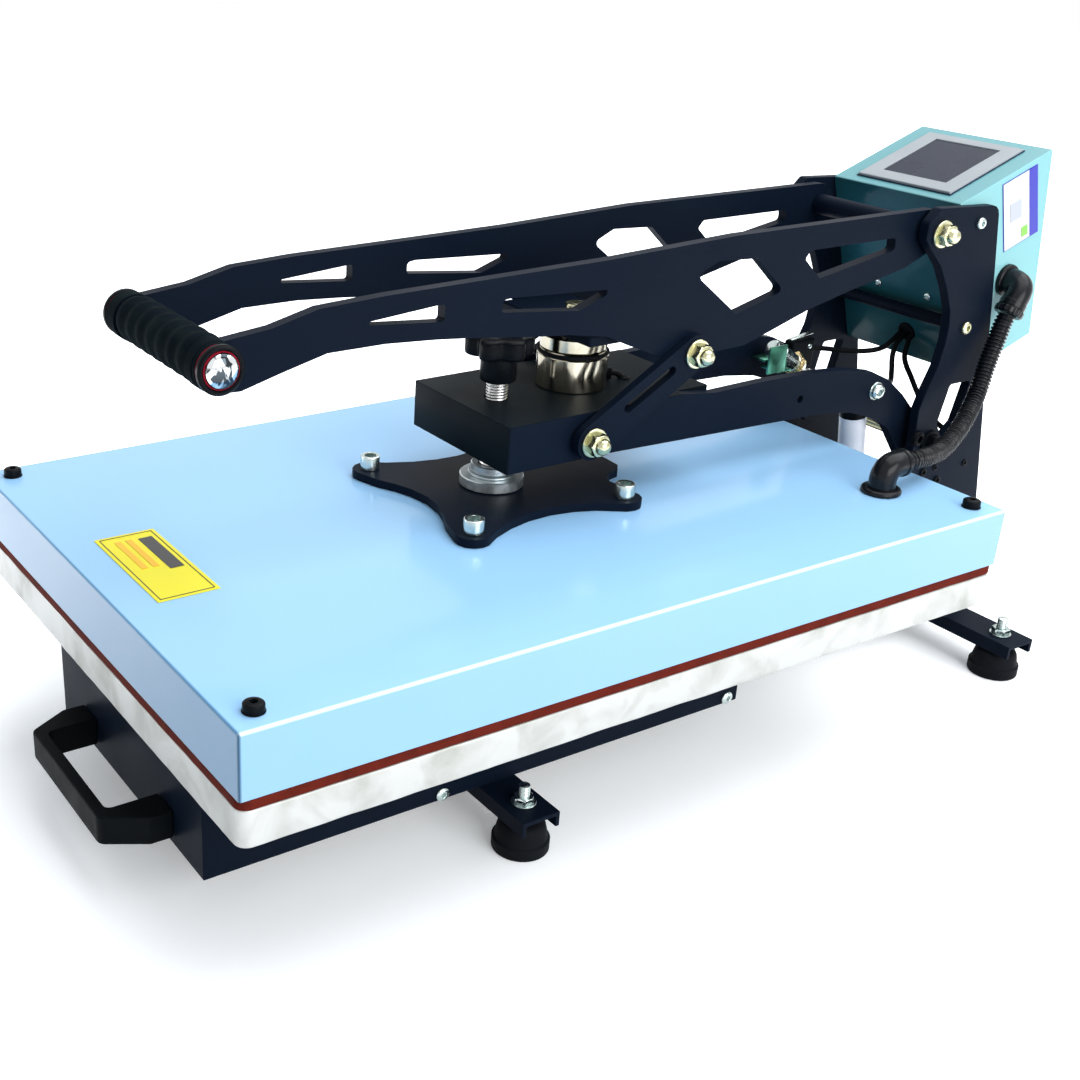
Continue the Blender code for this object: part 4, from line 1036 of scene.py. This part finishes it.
def dress_screen():
    """Raised grey bezel in a dark gasket line, with the glass set into it."""
    centre = on_box(0, 0.05, -0.0003)
    window = centre + ALONG * 0.0016
    gasket = card("screen_gasket", 0.0905, 0.0845, centre, RIGHT, ALONG, 0.0006)
    stand_in(gasket, "dark_trim", "touch_screen")
    rings = []
    for hub, width, height, lift in (
        (centre, 0.0885, 0.0825, 0.0006),
        (centre, 0.0881, 0.0821, 0.0019),
        (centre, 0.0871, 0.0811, 0.0022),
        (window, 0.0619, 0.0624, 0.0022),
        (window, 0.0607, 0.0612, 0.0019),
        (window, 0.0607, 0.0612, 0.0006),
    ):
        hub = hub + RISE * lift
        rings.append([hub + RIGHT * (sx * width / 2) + ALONG * (sy * height / 2) for sx, sy in CORNERS])
    piece(loft("screen_bezel", rings, loop=True), "bezel", "base", 20)
    pane = card("screen_pane", 0.0604, 0.0609, window + RISE * 0.0007, RIGHT, ALONG, 0.0008)
    piece(pane, "glass", "base")


def dress_box_card(side):
    """A blank identification card: white film, blue frame and band, one green and one grey square."""
    wide, tall = 0.0398, 0.0562
    centre = on_box(side + 0.0002, 0.0459 + wide / 2, 0.0045 + tall / 2)
    for name, width, height, shift, rise, finish, layer in (
        ("", wide, tall, 0, 0, "blue_film", 0),
        ("_face", wide - 0.0012, tall - 0.0012, 0, 0, "white_film", 1),
        ("_band", 0.0095, tall - 0.0008, wide / 2 - 0.0055, 0, "blue_film", 2),
        ("_green", 0.0072, 0.0082, 0.0035, -0.02, "green_film", 2),
        ("_grey", 0.013, 0.015, -0.006, 0.001, "grey_film", 2),
    ):
        place = centre + ALONG * shift + RISE * rise + RIGHT * (0.0003 * layer)
        piece(card(f"box_card{name}", width, height, place, ALONG, RISE), finish, "base")


def dress_box_gland(side):
    """Moulded elbow on the box's side: flange, elbow, ribbed clamp nut and its collar."""
    seat, out = at(side, 0.4465, 0.115), 0.0175
    points = [
        seat + Vector(step)
        for step in (
            (0.001, 0, 0),
            (0.008, 0, 0),
            (0.014, -0.0015, -0.002),
            (out - 0.0005, -0.005, -0.007),
            (out, -0.01, -0.0145),
            (out, -0.0143, -0.022),
        )
    ]
    elbow = swept("box_elbow", smooth_route(points, 0.0012), lambda gone: 0.0097, 32)
    stand_in(elbow, "gloss_plastic", "box_gland", 40)
    flange = [(0, 4.2), (9.8, 4.2), (11.5, 3.8), (12.3, 3), (12.5, 2), (12.5, 0.4), (0, 0.4)]
    piece(spun("box_flange", flange, seat, RIGHT, 48), "gloss_plastic", "base")
    mouth, heading = points[-1], (points[-1] - points[-2]).normalized()
    rings = []
    for radius, z in ((0, 0), (10.4, 0), (11.2, 0.8), (11.2, 4.4), (10, 5.6), (0, 5.6)):
        rib = 0.5 if radius > 8 else 0
        rings.append(ring(96, lambda a: radius - rib * (0.5 + 0.5 * cos(16 * a)), z))
    nut = stood("box_clamp_nut", rings, mouth - heading * 0.0056, heading)
    piece(nut, "gloss_plastic", "base", 40)
    sleeve = tube_ring("box_elbow_sleeve", 10.2, 8.5, 0, 5, mouth - heading * 0.011, heading)
    piece(sleeve, "gloss_plastic", "base")


# Conduit and cables
CONDUIT_ROUTE = [
    (78.5, 431.8, 92.1), (78.7, 428.5, 85.5), (80, 424.2, 77), (83, 414, 57.9),
    (88, 401.6, 37.2), (95.5, 384.5, 25.1), (105, 361.9, 16.8), (118, 329.9, 12.8),
    (127.5, 303, 15.3), (133, 281, 18.4), (133.5, 266.9, 18.8),
]
SWITCH_ROUTE = [
    (-0.8, 412.2, 61.2), (-1.4, 404, 54.5), (-3, 397, 49.7), (-6.6, 388, 47.2),
    (-15, 378, 45.5), (-26, 370, 44.5), (-35, 365.5, 44), (-40.5, 361, 43.4),
    (-42.2, 354.7, 43),
]
MAGNET_ROUTE = [
    (4, 412.2, 60.8), (6, 401, 54.5), (11, 392, 47), (19, 384, 37.5),
    (29, 372, 33.5), (38, 356, 37), (43, 338, 45), (44.5, 318, 51),
    (44.5, 275, 53), (44.5, 220, 53), (44.5, 190, 53), (42.5, 166, 53.5),
    (38, 150.5, 54.5), (27, 132, 56), (14, 116, 60.5), (8.5, 106.5, 69),
    (6, 100, 73.8), (4, 91.5, 74),
]
EARTH_ROUTE = [
    (9.2, 412.2, 60.4), (11.5, 407, 52.5), (13.5, 404, 45.5), (17.5, 403, 39),
    (23.5, 404.5, 30), (31, 409, 15), (43, 411, 2), (58, 411, -4),
]


def dress_conduit():
    """Corrugated conduit along its route, riding on no body."""
    route = [ORIGIN + Vector(p) * MM for p in CONDUIT_ROUTE]
    pitch, radius, depth = 0.0029, 0.0071, 0.0013

    def corrugated(gone):
        wave = cos(2 * pi * gone / pitch)
        flat = max(-0.75, min(0.75, wave * 1.3)) / 0.75
        return radius - depth * (0.5 - 0.5 * flat)

    mesh = swept("conduit_hose", smooth_route(route, 0.00045), corrugated, 28)
    hose = piece(mesh, "gloss_plastic", None, 60, "conduit")
    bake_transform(hose)


def dress_cables():
    """Each entry's last value is a number for a cable that rides on no body and None for one that rides on
    the base; the number itself is not used.
    """
    for name, points, arm_end in (
        ("switch_cable", SWITCH_ROUTE, -1),
        ("magnet_cable", MAGNET_ROUTE, 7),
        ("earth_cable", EARTH_ROUTE, None),
    ):
        route = [ORIGIN + Vector(p) * MM for p in points]
        mesh = swept(f"{name}_sheath", smooth_route(route, 0.0015), lambda gone: 0.0021, 14)
        cable = piece(mesh, "cable", None if arm_end else "base", 60, name)
        if arm_end:
            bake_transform(cable)


# Studio
def stage():
    bm = bmesh.new()
    bmesh.ops.create_grid(bm, x_segments=1, y_segments=1, size=6)
    floor = bpy.data.objects.new("floor", to_mesh("floor", bm))
    floor.location = (0, 0, CAD_BOX[0].z - 0.0002)
    put_in_scene(floor)
    paper = Finish("paper_floor", (0.94, 0.95, 0.96), 0.85)
    # painted glow: camera rays see the paper glow, dim near the press and full white from 0.74 m out; diffuse
    # rays see it grey and without glow
    bounced = paper.node("LightPath").outputs["Is Diffuse Ray"]
    paper.blotch((0.34, 0.38, 0.42), bounced)
    reach = paper.node("VectorMath", {0: paper.place}, operation="LENGTH").outputs["Value"]
    glow = paper.product(paper.ramp(reach, 0.38, 0.74, 0.22, 1), paper.ramp(bounced, 0, 1, 1, 0))
    paper.put("Emission Color", (1, 1, 1, 1))
    paper.put("Emission Strength", glow)
    paper.grain(60, 0.02, 0.001)
    floor.data.materials.append(paper.material)


def area_light(name, place, target, size, power, colour=(1, 1, 1)):
    light = bpy.data.lights.new(name, "AREA")
    light.shape = "RECTANGLE"
    light.size, light.size_y = size
    light.energy = power
    light.color = colour
    lamp = bpy.data.objects.new(name, light)
    lamp.location = place
    lamp.rotation_euler = (target - place).to_track_quat("-Z", "Y").to_euler()
    put_in_scene(lamp)


def lights():
    """White backdrop; what diffuse surfaces gather from it falls off away from one side."""
    world = bpy.data.worlds.new("studio")
    sky = Nodes(world)
    backdrop, output = sky.tree.nodes["Background"], sky.tree.nodes["World Output"]
    sky.wire(backdrop, {"Color": (1, 1, 1, 1)})
    heading = sky.node("TexCoord").outputs["Generated"]
    side = sky.node("VectorMath", {0: heading, 1: (0.66, 0.5, 0.56)}, operation="DOT_PRODUCT")
    level = sky.ramp(side.outputs["Value"], -0.7, 0.8, 0.03, 0.6)
    ambience = sky.node("Background", {"Color": (0.8, 0.9, 1, 1), "Strength": level})
    bounced = sky.node("LightPath").outputs["Is Diffuse Ray"]
    mix = sky.node("MixShader", {0: bounced, 1: backdrop.outputs[0], 2: ambience.outputs[0]})
    sky.wire(output, {"Surface": mix.outputs[0]})
    bpy.context.scene.world = world
    aim = at(0, 0.05, 0)
    area_light("top", at(0.1, 0.8, 1.85), aim, (2.6, 2.4), 60, (0.97, 0.99, 1))
    area_light("key", at(1.9, 0.1, 0.75), aim, (1.6, 1), 30)
    area_light("front", at(-0.52, -0.6, -0.01), at(-0.2, -0.3, -0.04), (0.26, 0.16), 0.7, (0.92, 0.96, 1))
    bpy.context.scene.view_settings.view_transform = "Standard"


def camera():
    """The view's direction, roll and shift; the lens is given for a 36 mm sensor."""
    turn, rise, roll = radians(57.642), radians(25.224), radians(1.617)
    heading = Matrix.Rotation(turn, 4, "Z") @ Matrix.Rotation(pi / 2 - rise, 4, "X")
    heading = heading @ Matrix.Rotation(roll, 4, "Z")
    lens = bpy.data.cameras.new("camera")
    lens.sensor_width = 36
    lens.lens = 48.62
    lens.shift_x, lens.shift_y = 0.1556, 0.0208
    lens.clip_start = 0.05
    view = bpy.data.objects.new("camera", lens)
    view.matrix_world = Matrix.Translation(at(0.7593, -0.578, 0.3899)) @ heading
    put_in_scene(view)
    bpy.context.scene.camera = view


for obj in list(bpy.data.objects):
    if obj.type in ("CAMERA", "LIGHT") or obj.name == "Cube":
        bpy.data.objects.remove(obj)
camera()
lights()
stage()
dress_base()
dress_drawer()
dress_cover()
dress_spider()
dress_spindle()
dress_cover_gland()
dress_press_arm()
dress_lever()
dress_links()
dress_posts()
dress_gas_spring()
dress_control_box()
dress_conduit()
dress_cables()
